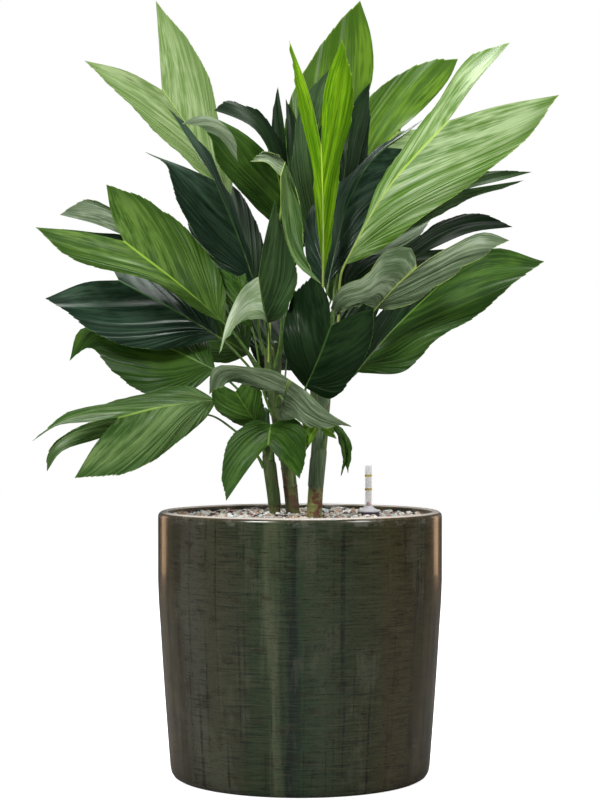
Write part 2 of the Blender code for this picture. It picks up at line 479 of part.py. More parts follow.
def part_petioles(fronds, canes):
    """Push petioles clear of each other and of the canes, level by level, with their ends held."""
    held = 2
    last = held + len(PETIOLE_STOPS)
    middles = np.array([frond.grid[:last + 1, 2] for frond in fronds])
    starts = middles.copy()
    places = np.linspace(0.0, last, 4 * last + 1)
    first = np.minimum(places.astype(int), last - 1)
    blend = np.zeros((len(places), last + 1))
    blend[np.arange(len(places)), first] = 1 - (places - first)
    blend[np.arange(len(places)), first + 1] = places - first
    free = np.array([0.0] * held + [1.0] * (last - held) + [0.0])
    posts = [(cane.name, *cane_at(cane, height)) for cane in canes.values()
             for height in np.arange(SOIL_TOP, cane.path[-1][1], 0.4)]
    post_places = np.array([post[1] for post in posts])
    owner = np.repeat(np.arange(len(fronds)), len(places))
    own = np.array([[post[0] == frond.cane for post in posts] for frond in fronds])[owner]
    share = np.tile(places / last, len(fronds))[:, None]
    leaving = SHEATH_THICK / 2 + SCAR + 0.8 * np.clip(share - 0.3, 0.0, 0.3)
    need = np.array([post[2] for post in posts]) + np.where(own, leaving, PETIOLE_WIDE + CANE_GAP)
    for _ in range(PETIOLE_ROUNDS):
        spots = np.einsum("sk,fkd->fsd", blend, middles).reshape(-1, 3)
        push = push_apart(spots, owner, 2 * PETIOLE_WIDE + PETIOLE_GAP) + push_off(spots, post_places, need)
        moves = np.einsum("sk,fsd->fkd", blend, push.reshape(len(fronds), -1, 3))
        middles += 3.0 * moves / blend.sum(axis=0)[None, :, None] * free[None, :, None]
    for frond, middle, begun in zip(fronds, middles, starts):
        frond.grid[:last + 1] += (middle - begun)[:, None]


def cane_strip(cane):
    """Give a cane as a flat strip of its own width, for sorting the layers."""
    heights = np.linspace(SOIL_TOP, cane.path[-1][1], 14)
    rows = []
    for height in heights:
        middle, radius = cane_at(cane, height)
        rows.append(middle + np.outer([-1.0, -0.5, 0.0, 0.5, 1.0], [radius, 0.0, 0.0]))
    return np.array(rows)


def samples_of(grid, start):
    """List points on a grid as four of its corners and their weights."""
    rows, columns = grid.shape[:2]
    corners = []
    weights = []
    for i in range(rows - 1):
        for j in range(columns - 1):
            four = [start + i * columns + j, start + i * columns + j + 1,
                    start + (i + 1) * columns + j, start + (i + 1) * columns + j + 1]
            for s in (0.0, 0.5):
                for t in (0.0, 0.5):
                    corners.append(four)
                    weights.append([(1 - s) * (1 - t), (1 - s) * t, s * (1 - t), s * t])
    for j in range(columns):
        last = start + (rows - 1) * columns + j
        corners.append([last] * 4)
        weights.append([1.0, 0.0, 0.0, 0.0])
    return np.array(corners), np.array(weights)


def triangles_of(grid, start):
    """List a grid's triangles as corner numbers."""
    rows, columns = grid.shape[:2]
    faces = []
    for i in range(rows - 1):
        for j in range(columns - 1):
            a = start + i * columns + j
            faces += [[a, a + 1, a + columns + 1], [a, a + columns + 1, a + columns]]
    return np.array(faces)


def meetings(points, front, back):
    """Find where samples of one grid are seen in front of or behind triangles of another."""
    spots = np.einsum("nk,nkd->nd", front[1], points[front[0]][..., [0, 2]])
    corners = points[back][..., [0, 2]]
    a, b, c = corners[:, 0], corners[:, 1], corners[:, 2]
    area = (b[:, 0] - a[:, 0]) * (c[:, 1] - a[:, 1]) - (b[:, 1] - a[:, 1]) * (c[:, 0] - a[:, 0])
    area = np.where(np.abs(area) < 1e-9, 1e-9, area)
    away = spots[:, None] - a[None]
    second = (away[..., 0] * (c - a)[:, 1] - away[..., 1] * (c - a)[:, 0]) / area
    third = ((b - a)[:, 0] * away[..., 1] - (b - a)[:, 1] * away[..., 0]) / area
    spot, face = np.nonzero((second >= 0) & (third >= 0) & (second + third <= 1))
    shares = np.stack([1 - second - third, second, third], axis=-1)[spot, face]
    return spot, face, shares


@dataclass
class Layer:
    """One sheet to sort: its grid, half thickness, freedom of each row to move, and count of slim rows."""
    grid: np.ndarray
    thick: np.ndarray
    free: np.ndarray
    slim: int


def per_point(layers, values):
    """Repeat each layer's value a row over the points of its grid."""
    return np.concatenate([np.repeat(value, layer.grid.shape[1]) for layer, value in zip(layers, values)])


def all_meetings(layers, starts, points):
    """Gather where two layers are seen one before the other, as point numbers and signed weights."""
    samples = [samples_of(layer.grid, start) for layer, start in zip(layers, starts)]
    faces = [triangles_of(layer.grid, start) for layer, start in zip(layers, starts)]
    slim = per_point(layers, [np.arange(len(layer.grid)) < layer.slim for layer in layers])
    index = []
    weight = []
    for front in range(len(layers)):
        for back in range(front + 1, len(layers)):
            for one, other, sign in ((front, back, 1.0), (back, front, -1.0)):
                spot, face, shares = meetings(points, samples[one], faces[other])
                corners = samples[one][0][spot]
                behind = faces[other][face]
                broad = ~(slim[corners].all(axis=1) & slim[behind].all(axis=1))
                index.append(np.concatenate([corners, behind], axis=1)[broad])
                weight.append(sign * np.concatenate([samples[one][1][spot], -shares], axis=1)[broad])
    return np.concatenate(index), np.concatenate(weight)


def softened(moved, layers, starts, passes):
    """Smooth the moves over each sheet, and hold the rows that aren't free."""
    for layer, start in zip(layers, starts):
        rows, columns = layer.grid.shape[:2]
        sheet = moved[start:start + rows * columns].reshape(rows, columns)
        for _ in range(passes):
            padded = np.pad(sheet, 1, mode="edge")
            around = (padded[:-2, 1:-1] + padded[2:, 1:-1] + padded[1:-1, :-2] + padded[1:-1, 2:]) / 4
            sheet = 0.5 * sheet + 0.5 * around
        moved[start:start + rows * columns] = (sheet * layer.free[:, None]).reshape(-1)
    return moved


def sorted_depths(layers):
    """Slide the layers along the line of sight until each is clear of those behind it."""
    starts = np.cumsum([0] + [layer.grid.shape[0] * layer.grid.shape[1] for layer in layers])
    points = np.concatenate([layer.grid.reshape(-1, 3) for layer in layers])
    thick = per_point(layers, [layer.thick for layer in layers])
    free = per_point(layers, [layer.free for layer in layers])
    index, weight = all_meetings(layers, starts, points)
    need = CLEAR + np.einsum("nk,nk->n", np.abs(weight), thick[index])
    give = (weight**2 * free[index]).sum(axis=1)
    movable = give > 0.05
    index, weight, need, give = index[movable], weight[movable], need[movable], give[movable]
    depth = points[:, 1].copy()
    for turn in range(ROUNDS):
        short = need - np.einsum("nk,nk->n", weight, depth[index])
        push = np.maximum(short, 0.0)[:, None] * weight * free[index] / give[:, None]
        total = np.zeros_like(depth)
        count = np.full_like(depth, 1e-6)
        np.add.at(total, index, push * np.abs(weight))
        np.add.at(count, index, np.abs(weight) * (np.abs(push) > 0))
        depth += 0.9 * softened(total / count, layers, starts, 3 if turn < ROUNDS * 0.7 else 1)
    return [depth[start:start + layer.grid.shape[0] * layer.grid.shape[1]].reshape(layer.grid.shape[:2])
            for layer, start in zip(layers, starts)]


def loft(name, tops, bottoms, collection):
    """Join rows of upper and lower points into one closed, triangulated solid."""
    rings = np.concatenate([tops, bottoms[:, ::-1]], axis=1)
    rows, around = rings.shape[:2]
    mesh = bpy.data.meshes.new(name)
    shape = bmesh.new()
    corners = [[shape.verts.new(tuple(point)) for point in ring] for ring in pulled(rings)]
    half = around // 2
    for i in range(rows - 1):
        for j in range(around):
            k = (j + 1) % around
            a, b, c, d = corners[i][j], corners[i][k], corners[i + 1][k], corners[i + 1][j]
            split = [(a, b, c), (a, c, d)] if j < half else [(b, d, a), (b, c, d)]
            for face in split:
                shape.faces.new(face)
    for ring in (corners[0], corners[-1]):
        for j in range(half - 1):
            a, b, c, d = ring[j], ring[j + 1], ring[around - 2 - j], ring[around - 1 - j]
            shape.faces.new((a, b, c))
            shape.faces.new((a, c, d))
    bmesh.ops.recalc_face_normals(shape, faces=shape.faces)
    if shape.calc_volume(signed=True) < 0:
        bmesh.ops.reverse_faces(shape, faces=shape.faces)
    shape.to_mesh(mesh)
    shape.free()
    mesh.shade_smooth()
    thing = bpy.data.objects.new(name, mesh)
    collection.objects.link(thing)
    return thing


def sheet_normals(grid):
    """Give the direction that a grid faces at each of its points, each half of the blade by itself."""
    world = np.array([1.0, -1.0, 1.0])
    along = np.gradient(grid, axis=0) * world
    middle = grid.shape[1] // 2
    first = unit(np.cross(np.gradient(grid[:, :middle + 1], axis=1) * world, along[:, :middle + 1]))
    second = unit(np.cross(np.gradient(grid[:, middle:], axis=1) * world, along[:, middle:]))
    rib = unit(first[:, -1:] + second[:, :1])
    return np.concatenate([first[:, :-1], rib, second[:, 1:]], axis=1) * world


def frond_solid(frond, collection):
    """Thicken a frond's surface: a sheath round the cane, a bar for the petiole, and a pleated blade."""
    facing = sheet_normals(frond.grid)
    first = 2 + len(PETIOLE_STOPS)
    order = np.arange(len(frond.grid) - first)
    middle = frond.grid.copy()
    pleats = PLEAT * np.outer(np.where(order % 2, 1.0, -1.0), PLEAT_ACROSS)
    middle[first:] += facing[first:] * pleats[..., None]
    deep = np.full(middle.shape[:2], BLADE_HALF)
    deep[:2] = SHEATH_THICK / 2 * SHEATH_DEEP
    deep[2:first] = PETIOLE_DEEP * BAR_DEEP
    keel = np.zeros_like(deep)
    keel[first:, 2] = RIB_KEEL * (1 - 0.6 * order / len(order))
    above = deep + (keel if frond.shows == "under" else 0.0)
    below = deep + (keel if frond.shows == "upper" else 0.0)
    tops = middle + facing * above[..., None]
    bottoms = middle - facing * below[..., None]
    thing = loft(frond.name, tops, bottoms, collection)
    finish_with(thing, frond.colour, 0.4)
    return thing


def make_cane(cane, collection):
    """A cane as a bevelled curve, a little thicker at each of its ring scars."""
    top = cane.path[-1][1]
    heights = [cane.path[0][1], SOIL_TOP]
    scar = SOIL_TOP + FIRST_SCAR
    while scar < top - 1.2:
        heights += [scar - 0.18, scar]
        scar += SCAR_STEP
    heights += [top - 0.5, top]
    curve = bpy.data.curves.new(cane.name, "CURVE")
    curve.dimensions = "3D"
    curve.bevel_depth = CM
    curve.bevel_resolution = 2
    curve.use_fill_caps = True
    spline = curve.splines.new("POLY")
    spline.points.add(len(heights) - 1)
    for number, (point, height) in enumerate(zip(spline.points, heights)):
        middle, radius = cane_at(cane, height)
        point.co = (*pulled(middle), 1.0)
        scarred = number % 2 == 1 and 2 <= number < len(heights) - 2
        point.radius = radius + (SCAR if scarred else 0.0)
    spline.points[-1].radius = 0.3 * cane.top
    thing = bpy.data.objects.new(cane.name, curve)
    collection.objects.link(thing)
    finish_with(thing, cane.colour, 0.55)
    return thing


def turned(name, profile, collection, segments=POT_SEGMENTS, centre=(0.0, 0.0)):
    """Turn a profile of (radius, height) about an upright axis at the centre."""
    mesh = bpy.data.meshes.new(name)
    points = [(radius * CM, 0.0, height * CM) for radius, height in profile]
    mesh.from_pydata(points, [(k, k + 1) for k in range(len(points) - 1)], [])
    thing = bpy.data.objects.new(name, mesh)
    collection.objects.link(thing)
    thing.location = (centre[0] * CM, centre[1] * CM, 0.0)
    screw = thing.modifiers.new("turn", "SCREW")
    screw.steps = segments
    screw.render_steps = segments
    screw.use_merge_vertices = True
    screw.merge_threshold = 0.00005
    screw.use_smooth_shade = True
    return thing


def make_pot(collection):
    """The glazed pot: straight above, drawn in below, with a rounded lip and foot."""
    lip = 0.62
    inside = POT_RADIUS - POT_WALL
    hollow = [(0.0, POT_FLOOR), (12.0, POT_FLOOR), (12.9, POT_FLOOR + 0.6), (inside - 0.4, 14.0),
              (inside, 26.0)]
    rim = [(inside, POT_HEIGHT - lip), (inside + 0.2, POT_HEIGHT - 0.18), (inside + 0.55, POT_HEIGHT),
           (POT_RADIUS - 0.5, POT_HEIGHT - 0.05), (POT_RADIUS - 0.12, POT_HEIGHT - 0.3),
           (POT_RADIUS, POT_HEIGHT - 0.75)]
    outside = [(POT_RADIUS, 22.0), (15.73, 17.0), (15.26, 9.6), (14.6, 1.0), (14.35, 0.35), (13.9, 0.0),
               (0.0, 0.0)]
    pot = turned("pot", hollow + rim + outside, collection)
    finish_with(pot, (0.03, 0.035, 0.022), 0.25)
    return pot


def pot_inside(height):
    """The pot's inner radius at a height."""
    inside = POT_RADIUS - POT_WALL
    radii = [12.0, 12.9, inside - 0.4, inside]
    return float(np.interp(height, [POT_FLOOR, POT_FLOOR + 0.6, 14.0, 26.0], radii))


def cutter_rod(name, centre, radius, low, high, collection):
    """A standing cylinder that cuts a plain hole."""
    bpy.ops.mesh.primitive_cylinder_add(vertices=20, radius=radius * CM, depth=(high - low) * CM,
                                        location=(centre[0] * CM, centre[1] * CM, (low + high) / 2 * CM))
    rod = bpy.context.active_object
    rod.name = name
    for owner in list(rod.users_collection):
        owner.objects.unlink(rod)
    collection.objects.link(rod)
    rod.hide_render = True
    rod.display_type = "WIRE"
    return rod


def roughen(mesh):
    """Raise and sink the bed's top as granules do, but keep it flat at the wall and round the gauge."""
    draw = np.random.default_rng(SOIL_SEED)
    rim = pot_inside(SOIL_TOP) - 10 * GAP
    for vertex in mesh.vertices:
        x, y, z = vertex.co / CM
        clear_of_gauge = math.hypot(x - GAUGE_ACROSS, y - GAUGE_BACK) > GAUGE_RING + 10 * GAP
        if z > SOIL_TOP - GAP and math.hypot(x, y) < rim and clear_of_gauge:
            vertex.co.z += (GRANULE_LIFT + GRANULE_RELIEF * draw.uniform(-1.0, 1.0)) * CM


def make_substrate(collection, cutters):
    """The granules: one bed with a bumpy top and a plain hole for each cane and for the gauge."""
    wall = [(pot_inside(z) - GAP, z) for z in (26.0, 14.0, POT_FLOOR + 0.6, POT_FLOOR)]
    radii = np.linspace(0.0, pot_inside(SOIL_TOP) - GAP, GRANULE_RINGS)
    foot = [(wall[3][0], POT_FLOOR + GAP), (0.0, POT_FLOOR + GAP)]
    profile = [(float(r), SOIL_TOP) for r in radii] + wall[:3] + foot
    bed = turned("substrate", profile, collection)
    shape = bpy.data.meshes.new_from_object(bed.evaluated_get(bpy.context.evaluated_depsgraph_get()))
    bed.modifiers.clear()
    bed.data = shape
    roughen(shape)
    shape.name = "substrate"
    rods = []
    for cane in CANES:
        across, up, forward = cane.path[0]
        foot = pulled([across, forward, up]) / CM
        rods.append(cutter_rod("hole_" + cane.name, foot[:2], cane.foot * 1.04 + 2 * GAP,
                               foot[2] - GAP, SOIL_TOP + 2.0, cutters))
    rods.append(cutter_rod("hole_gauge", (GAUGE_ACROSS, GAUGE_BACK), GAUGE_HOLE,
                           GAUGE_FOOT - GAP, SOIL_TOP + 2.0, cutters))
    for rod in rods:
        cut = bed.modifiers.new(rod.name, "BOOLEAN")
        cut.operation = "DIFFERENCE"
        cut.object = rod
    finish_with(bed, (0.62, 0.56, 0.5), 0.9)
    return bed


def make_gauge(collection):
    """The water gauge: a housing in the bed with a cone on it, a clear tube, and a float on a rod."""
    centre = (GAUGE_ACROSS, GAUGE_BACK)
    barrel = GAUGE_HOLE - 2 * GAP
    housing = turned("gauge_housing", [
        (0.35, GAUGE_FOOT), (0.35, GAUGE_FOOT + 0.2), (0.78, GAUGE_FOOT + 0.2), (0.78, 28.8),
        (GAUGE_BORE, 29.3), (GAUGE_BORE, GAUGE_CONE_TOP), (0.45, GAUGE_CONE_TOP), (0.62, 30.1),
        (GAUGE_RING - 0.09, 29.78), (GAUGE_RING, 29.68), (GAUGE_RING, 29.3), (barrel, 29.25),
        (barrel, GAUGE_FOOT), (0.35, GAUGE_FOOT)], collection, GAUGE_SEGMENTS, centre)
    finish_with(housing, (0.35, 0.34, 0.37), 0.35)
    foot = GAUGE_CONE_TOP + GAP
    tube = turned("gauge_sight_tube", [
        (0.0, GAUGE_TOP), (0.34, GAUGE_TOP), (0.4, GAUGE_TOP - 0.08), (0.4, foot), (GAUGE_BORE, foot),
        (GAUGE_BORE, GAUGE_TOP - 0.3), (0.2, GAUGE_TOP - 0.14), (0.0, GAUGE_TOP - 0.12)],
        collection, GAUGE_SEGMENTS, centre)
    finish_with(tube, (0.8, 0.8, 0.82), 0.1)
    rest = GAUGE_FOOT + 0.2 + GAP
    rod = turned("gauge_float", [
        (0.0, 30.72), (0.16, 30.68), (0.2, 30.5), (0.2, 30.25), (0.09, 30.15), (0.09, rest + 4.2),
        (0.5, rest + 4.0), (0.66, rest + 3.7), (0.66, rest + 0.3), (0.5, rest), (0.0, rest)],
        collection, GAUGE_SEGMENTS, centre)
    finish_with(rod, (0.6, 0.03, 0.05), 0.35)
    return housing, tube, rod


def layer_of(thing, canes):
    """Give a frond or a cane as a sheet to sort, with its thickness and the freedom of its rows."""
    if isinstance(thing, Frond):
        stops = len(PETIOLE_STOPS)
        rows = len(thing.grid)
        thick = np.concatenate([[0.1] * 2, [0.18] * stops, [0.06] * (rows - 2 - stops)])
        free = np.concatenate([[0.0, 0.0, 0.15, 0.5, 0.8], [1.0] * (rows - 5)])
        return Layer(thing.grid, thick, free, 2 + stops)
    strip = cane_strip(canes[thing])
    thick = np.array([cane_at(canes[thing], height)[1] for height in strip[:, 2, 2]])
    return Layer(strip, thick, np.zeros(len(strip)), len(strip))


def sorted_fronds(canes):
    """Lay out the fronds and sort them, so that none runs through another."""
    fronds = [thing for thing in LAYERS if isinstance(thing, Frond)]
    share_out_bearings(fronds, canes)
    for frond in fronds:
        lay_out(frond, canes)
    depths = sorted_depths([layer_of(thing, canes) for thing in LAYERS])
    for thing, depth in zip(LAYERS, depths):
        if isinstance(thing, Frond):
            thing.grid[..., 1] = depth
    part_petioles(fronds, canes)
    return fronds


def make_plant(collection):
    """The canes and the fronds."""
    canes = {cane.name: cane for cane in CANES}
    fronds = sorted_fronds(canes)
    for cane in CANES:
        make_cane(cane, collection)
    for frond in fronds:
        frond_solid(frond, collection)


def main():
    """Build the whole part."""
    part, cutters = start()
    make_pot(part)
    make_substrate(part, cutters)
    make_gauge(part)
    make_plant(part)


main()
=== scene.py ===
# %% [markdown]
# # A potted metallic palm
#
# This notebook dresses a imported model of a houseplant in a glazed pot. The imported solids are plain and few-sided.
# Here each leaf becomes a fine pleated sheet, the bed becomes loose granules, and the pot gets its glaze.
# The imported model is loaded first, because every piece that follows has to lie where its solid lies.

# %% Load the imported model
import math
from dataclasses import dataclass, field

import bmesh
import bpy
import numpy as np
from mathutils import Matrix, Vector


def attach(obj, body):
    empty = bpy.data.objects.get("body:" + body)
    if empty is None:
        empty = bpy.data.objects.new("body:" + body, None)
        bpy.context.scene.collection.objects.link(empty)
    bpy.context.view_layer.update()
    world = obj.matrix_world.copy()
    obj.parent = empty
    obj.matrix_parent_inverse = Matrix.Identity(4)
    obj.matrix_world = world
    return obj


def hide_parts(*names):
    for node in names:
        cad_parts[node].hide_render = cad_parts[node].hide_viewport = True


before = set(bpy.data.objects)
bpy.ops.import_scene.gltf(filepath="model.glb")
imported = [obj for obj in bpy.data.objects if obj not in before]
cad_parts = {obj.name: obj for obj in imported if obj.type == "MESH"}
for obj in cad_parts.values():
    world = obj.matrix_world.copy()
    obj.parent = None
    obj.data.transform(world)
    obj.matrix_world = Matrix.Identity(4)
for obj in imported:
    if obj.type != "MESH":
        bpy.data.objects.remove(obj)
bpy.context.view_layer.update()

# %% [markdown]
# ## Units and the eye
#
# The plant was measured in centimetres as the photographer's eye sees it. A place is given as (across, up) on the
# upright plane through the pot's axis, with a distance forward of that plane. It is then pulled along the line of
# sight, so it keeps its place in the picture wherever its depth puts it.

# %% Units and the eye
CM = 0.01
GAP = 0.03
EYE_DISTANCE = 230.0
EYE_HEIGHT = 42.26


def pulled(points):
    """Bring (across, forward, up) places in centimetres to metres along the line of sight."""
    points = np.asarray(points, float)
    across, forward, up = points[..., 0], points[..., 1], points[..., 2]
    nearer = (EYE_DISTANCE - forward) / EYE_DISTANCE
    return np.stack([across * nearer, -forward, EYE_HEIGHT + (up - EYE_HEIGHT) * nearer], axis=-1) * CM


print("a leaf tip at", pulled([29.3, -1.0, 76.7]).round(3))

# %% [markdown]
# ## The camera
#
# The lens is long and level, and the eye stands 2.3 m in front of the pot at mid height. A level camera keeps the
# pot's sides upright. With a 36 mm sensor along the picture's long side, 91.6 mm frames a height of about 90 cm.

# %% The camera
camera = bpy.data.cameras.new("eye")
camera.lens = 91.6
camera.sensor_width = 36.0
eye = bpy.data.objects.new("eye", camera)
eye.location = (0.0, -EYE_DISTANCE * CM, EYE_HEIGHT * CM)
eye.rotation_euler = (math.radians(90), 0.0, 0.0)
bpy.context.scene.collection.objects.link(eye)
bpy.context.scene.camera = eye
print("eye at", tuple(round(x, 3) for x in eye.location))

# %% [markdown]
# ## Studio light
#
# Waxy leaves and a gloss glaze show what is round them, so the lamps matter as much as the colours. Soft panels high
# in front and above light the leaves. They hang too high for an upright wall to mirror, so the pot keeps its dark
# front. Two dim warm cards stand behind, out of the picture. The pot's sides mirror them as thin copper edges.

# %% Studio light
def panel(name, place, aim, size, power, colour=(1.0, 1.0, 1.0)):
    """Hang a soft rectangular lamp that looks at a point."""
    lamp = bpy.data.lights.new(name, "AREA")
    lamp.shape = "RECTANGLE"
    lamp.size, lamp.size_y = size
    lamp.energy = power
    lamp.color = colour
    thing = bpy.data.objects.new(name, lamp)
    thing.location = place
    thing.rotation_euler = (Vector(aim) - Vector(place)).to_track_quat("-Z", "Y").to_euler()
    bpy.context.scene.collection.objects.link(thing)


LEAVES = (0.0, 0.0, 0.55)
POT_SIDE = (0.0, 0.0, 0.15)
WARM = (1.0, 0.62, 0.36)
panel("panel_front_left", (-1.3, -1.7, 2.1), LEAVES, (0.8, 0.8), 62.0)
panel("panel_front_right", (1.7, -1.3, 1.8), LEAVES, (0.7, 0.7), 24.0)
panel("panel_above", (0.1, 0.4, 2.4), LEAVES, (1.2, 1.2), 46.0)
panel("card_left", (-1.6, 1.9, 0.35), POT_SIDE, (0.5, 1.0), 2.2, WARM)
panel("card_right", (1.6, 1.9, 0.35), POT_SIDE, (0.5, 1.0), 2.8, WARM)

# %% [markdown]
# ## The air round the plant
#
# The picture's ground is white, but a white surrounding would wash out dark leaves and glaze. So the surrounding is
# white only where the eye looks straight at it, and a soft grey wherever it lights something. The plain view
# transform keeps the greens as saturated as they are set.

# %% The air round the plant
SEEN_WHITE = 1.0
FILL_LIGHT = 0.14
world = bpy.data.worlds.new("studio")
world.use_nodes = True
air = world.node_tree
ray = air.nodes.new("ShaderNodeLightPath")
strength = air.nodes.new("ShaderNodeMapRange")
strength.inputs["To Min"].default_value = FILL_LIGHT
strength.inputs["To Max"].default_value = SEEN_WHITE
air.links.new(ray.outputs["Is Camera Ray"], strength.inputs["Value"])
air.links.new(strength.outputs["Result"], air.nodes["Background"].inputs["Strength"])
air.nodes["Background"].inputs["Color"].default_value = (1.0, 1.0, 1.0, 1.0)
bpy.context.scene.world = world
bpy.context.scene.view_settings.view_transform = "Standard"
print("fill light", FILL_LIGHT)

# %% [markdown]
# ## The floor
#
# A plain pale floor grounds the pot with a soft contact shadow. It belongs to the studio, not to the plant. Like the
# air, it glows only where the eye looks straight at it, so that it meets the white behind without an edge. To
# mirrors it is dim, as if black card lay on it, or the glaze would show a white floor in place of its own colour.

# %% The floor
bpy.ops.mesh.primitive_plane_add(size=14.0, location=(0.0, 0.0, -0.0005))
floor = bpy.context.active_object
floor.name = "floor"
paint = bpy.data.materials.new("floor_paint")
paint.use_nodes = True
coat = paint.node_tree
base = coat.nodes["Principled BSDF"]
base.inputs["Roughness"].default_value = 0.85
base.inputs["Emission Color"].default_value = (1.0, 1.0, 1.0, 1.0)
seen = coat.nodes.new("ShaderNodeLightPath")
pale = coat.nodes.new("ShaderNodeMapRange")
pale.inputs["To Min"].default_value = 0.9
pale.inputs["To Max"].default_value = 0.12
coat.links.new(seen.outputs["Is Glossy Ray"], pale.inputs["Value"])
coat.links.new(pale.outputs["Result"], base.inputs["Base Color"])
glow = coat.nodes.new("ShaderNodeMath")
glow.operation = "MULTIPLY"
glow.inputs[1].default_value = 0.85
coat.links.new(seen.outputs["Is Camera Ray"], glow.inputs[0])
coat.links.new(glow.outputs[0], base.inputs["Emission Strength"])
floor.data.materials.append(paint)
print("floor laid")

# %% [markdown]
# ## Helpers for materials
#
# Every finish below is a Principled material whose nodes are made in code. These two helpers keep that short: one
# adds a node with its values set, and the other starts a node group with named sockets.

# %% Helpers for materials
def add_node(tree, kind, **values):
    """Add a node and set its plain properties and the inputs that are named."""
    node = tree.nodes.new(kind)
    for key, value in values.items():
        if hasattr(node, key):
            setattr(node, key, value)
        else:
            node.inputs[key.replace("_", " ")].default_value = value
    return node


def start_group(name, inputs, outputs):
    """Start a shader node group with inputs {name: (socket type, default)} and outputs {name: socket type}."""
    tree = bpy.data.node_groups.new(name, "ShaderNodeTree")
    for label, (kind, default) in inputs.items():
        socket = tree.interface.new_socket(name=label, in_out="INPUT", socket_type=kind)
        socket.default_value = default
    for label, kind in outputs.items():
        tree.interface.new_socket(name=label, in_out="OUTPUT", socket_type=kind)
    return tree, tree.nodes.new("NodeGroupInput"), tree.nodes.new("NodeGroupOutput")


def math_node(tree, operation, first, second=None):
    """Do a sum on two sockets or numbers and give the result's socket."""
    node = tree.nodes.new("ShaderNodeMath")
    node.operation = operation
    for socket, value in zip(node.inputs, (first, second)):
        if hasattr(value, "default_value") or hasattr(value, "links"):
            tree.links.new(value, socket)
        elif value is not None:
            socket.default_value = value
    return node.outputs[0]


def mix_colours(tree, share, first, second):
    """Mix two colours, each a socket or a value, by a share."""
    node = tree.nodes.new("ShaderNodeMix")
    node.data_type = "RGBA"
    for socket, value in ((node.inputs[0], share), (node.inputs[6], first), (node.inputs[7], second)):
        if hasattr(value, "links"):
            tree.links.new(value, socket)
        else:
            socket.default_value = value
    return node.outputs[2]


def band(tree, value, low, high):
    """Turn a value into a smooth step from 0 at low to 1 at high."""
    node = tree.nodes.new("ShaderNodeMapRange")
    node.interpolation_type = "SMOOTHSTEP"
    tree.links.new(value, node.inputs["Value"])
    node.inputs["From Min"].default_value = low
    node.inputs["From Max"].default_value = high
    return node.outputs["Result"]


print("helpers ready")

# %% [markdown]
# ## Streaks and grain
#
# Two effects are shared by several finishes, so each is a node group with its own inputs. Streaks run up the plant
# between a dark and a light tone, and are used by stalks, sheaths and canes. Grain is a fine even speckle, and is
# used by the stones, the bed below them and the moulded plastic of the gauge. Both also give a height for relief.

# %% Streaks and grain
def make_streaks():
    """Build the group of streaks: Fine is how many lie side by side, Long is how often one breaks off."""
    tree, given, result = start_group("plant_streaks", {
        "Dark": ("NodeSocketColor", (0.03, 0.08, 0.01, 1.0)), "Light": ("NodeSocketColor", (0.11, 0.21, 0.03, 1.0)),
        "Fine": ("NodeSocketFloat", 700.0), "Long": ("NodeSocketFloat", 36.0)},
        {"Color": "NodeSocketColor", "Height": "NodeSocketFloat"})
    where = tree.nodes.new("ShaderNodeTexCoord")
    scale = tree.nodes.new("ShaderNodeCombineXYZ")
    for axis, label in zip("XYZ", ("Fine", "Fine", "Long")):
        tree.links.new(given.outputs[label], scale.inputs[axis])
    stretch = add_node(tree, "ShaderNodeVectorMath", operation="MULTIPLY")
    tree.links.new(where.outputs["Object"], stretch.inputs[0])
    tree.links.new(scale.outputs[0], stretch.inputs[1])
    noise = add_node(tree, "ShaderNodeTexNoise", Scale=1.0, Detail=4.0, Roughness=0.55)
    tree.links.new(stretch.outputs[0], noise.inputs["Vector"])
    share = band(tree, noise.outputs["Fac"], 0.3, 0.7)
    tree.links.new(mix_colours(tree, share, given.outputs["Dark"], given.outputs["Light"]), result.inputs["Color"])
    tree.links.new(noise.outputs["Fac"], result.inputs["Height"])
    return tree


def make_grain():
    """Build the group of fine grain: Scale is how many specks lie in a metre."""
    tree, given, result = start_group("fine_grain", {
        "Dark": ("NodeSocketColor", (0.3, 0.3, 0.3, 1.0)), "Light": ("NodeSocketColor", (0.7, 0.7, 0.7, 1.0)),
        "Scale": ("NodeSocketFloat", 260.0)}, {"Color": "NodeSocketColor", "Height": "NodeSocketFloat"})
    where = tree.nodes.new("ShaderNodeTexCoord")
    noise = add_node(tree, "ShaderNodeTexNoise", Detail=4.0, Roughness=0.7)
    tree.links.new(where.outputs["Object"], noise.inputs["Vector"])
    tree.links.new(given.outputs["Scale"], noise.inputs["Scale"])
    share = band(tree, noise.outputs["Fac"], 0.3, 0.7)
    tree.links.new(mix_colours(tree, share, given.outputs["Dark"], given.outputs["Light"]), result.inputs["Color"])
    tree.links.new(noise.outputs["Fac"], result.inputs["Height"])
    return tree


def use_group(tree, group, **values):
    """Put a node group into a material and set its inputs."""
    node = tree.nodes.new("ShaderNodeGroup")
    node.node_tree = group
    for label, value in values.items():
        node.inputs[label].default_value = value
    return node


plant_streaks, fine_grain = make_streaks(), make_grain()
print("groups:", plant_streaks.name, fine_grain.name)

# %% [markdown]
# ## Leaf tissue
#
# A palm blade is ribbed tissue. Its veins leave the rachis at a narrow angle and sweep towards the tip, and many of
# them start together at the base. Every blade below carries a map named blade. Its first number is 0 to 1 for the
# vein on which a point lies, and its second runs from -1 at one toothed edge over 0 at the rachis to 1 at the other.
# Streaks drawn in that map follow the veins however the leaf bends. Soft clouds in the object's own space change
# the green from place to place. The group gives the colour, the roughness and the height of the relief.

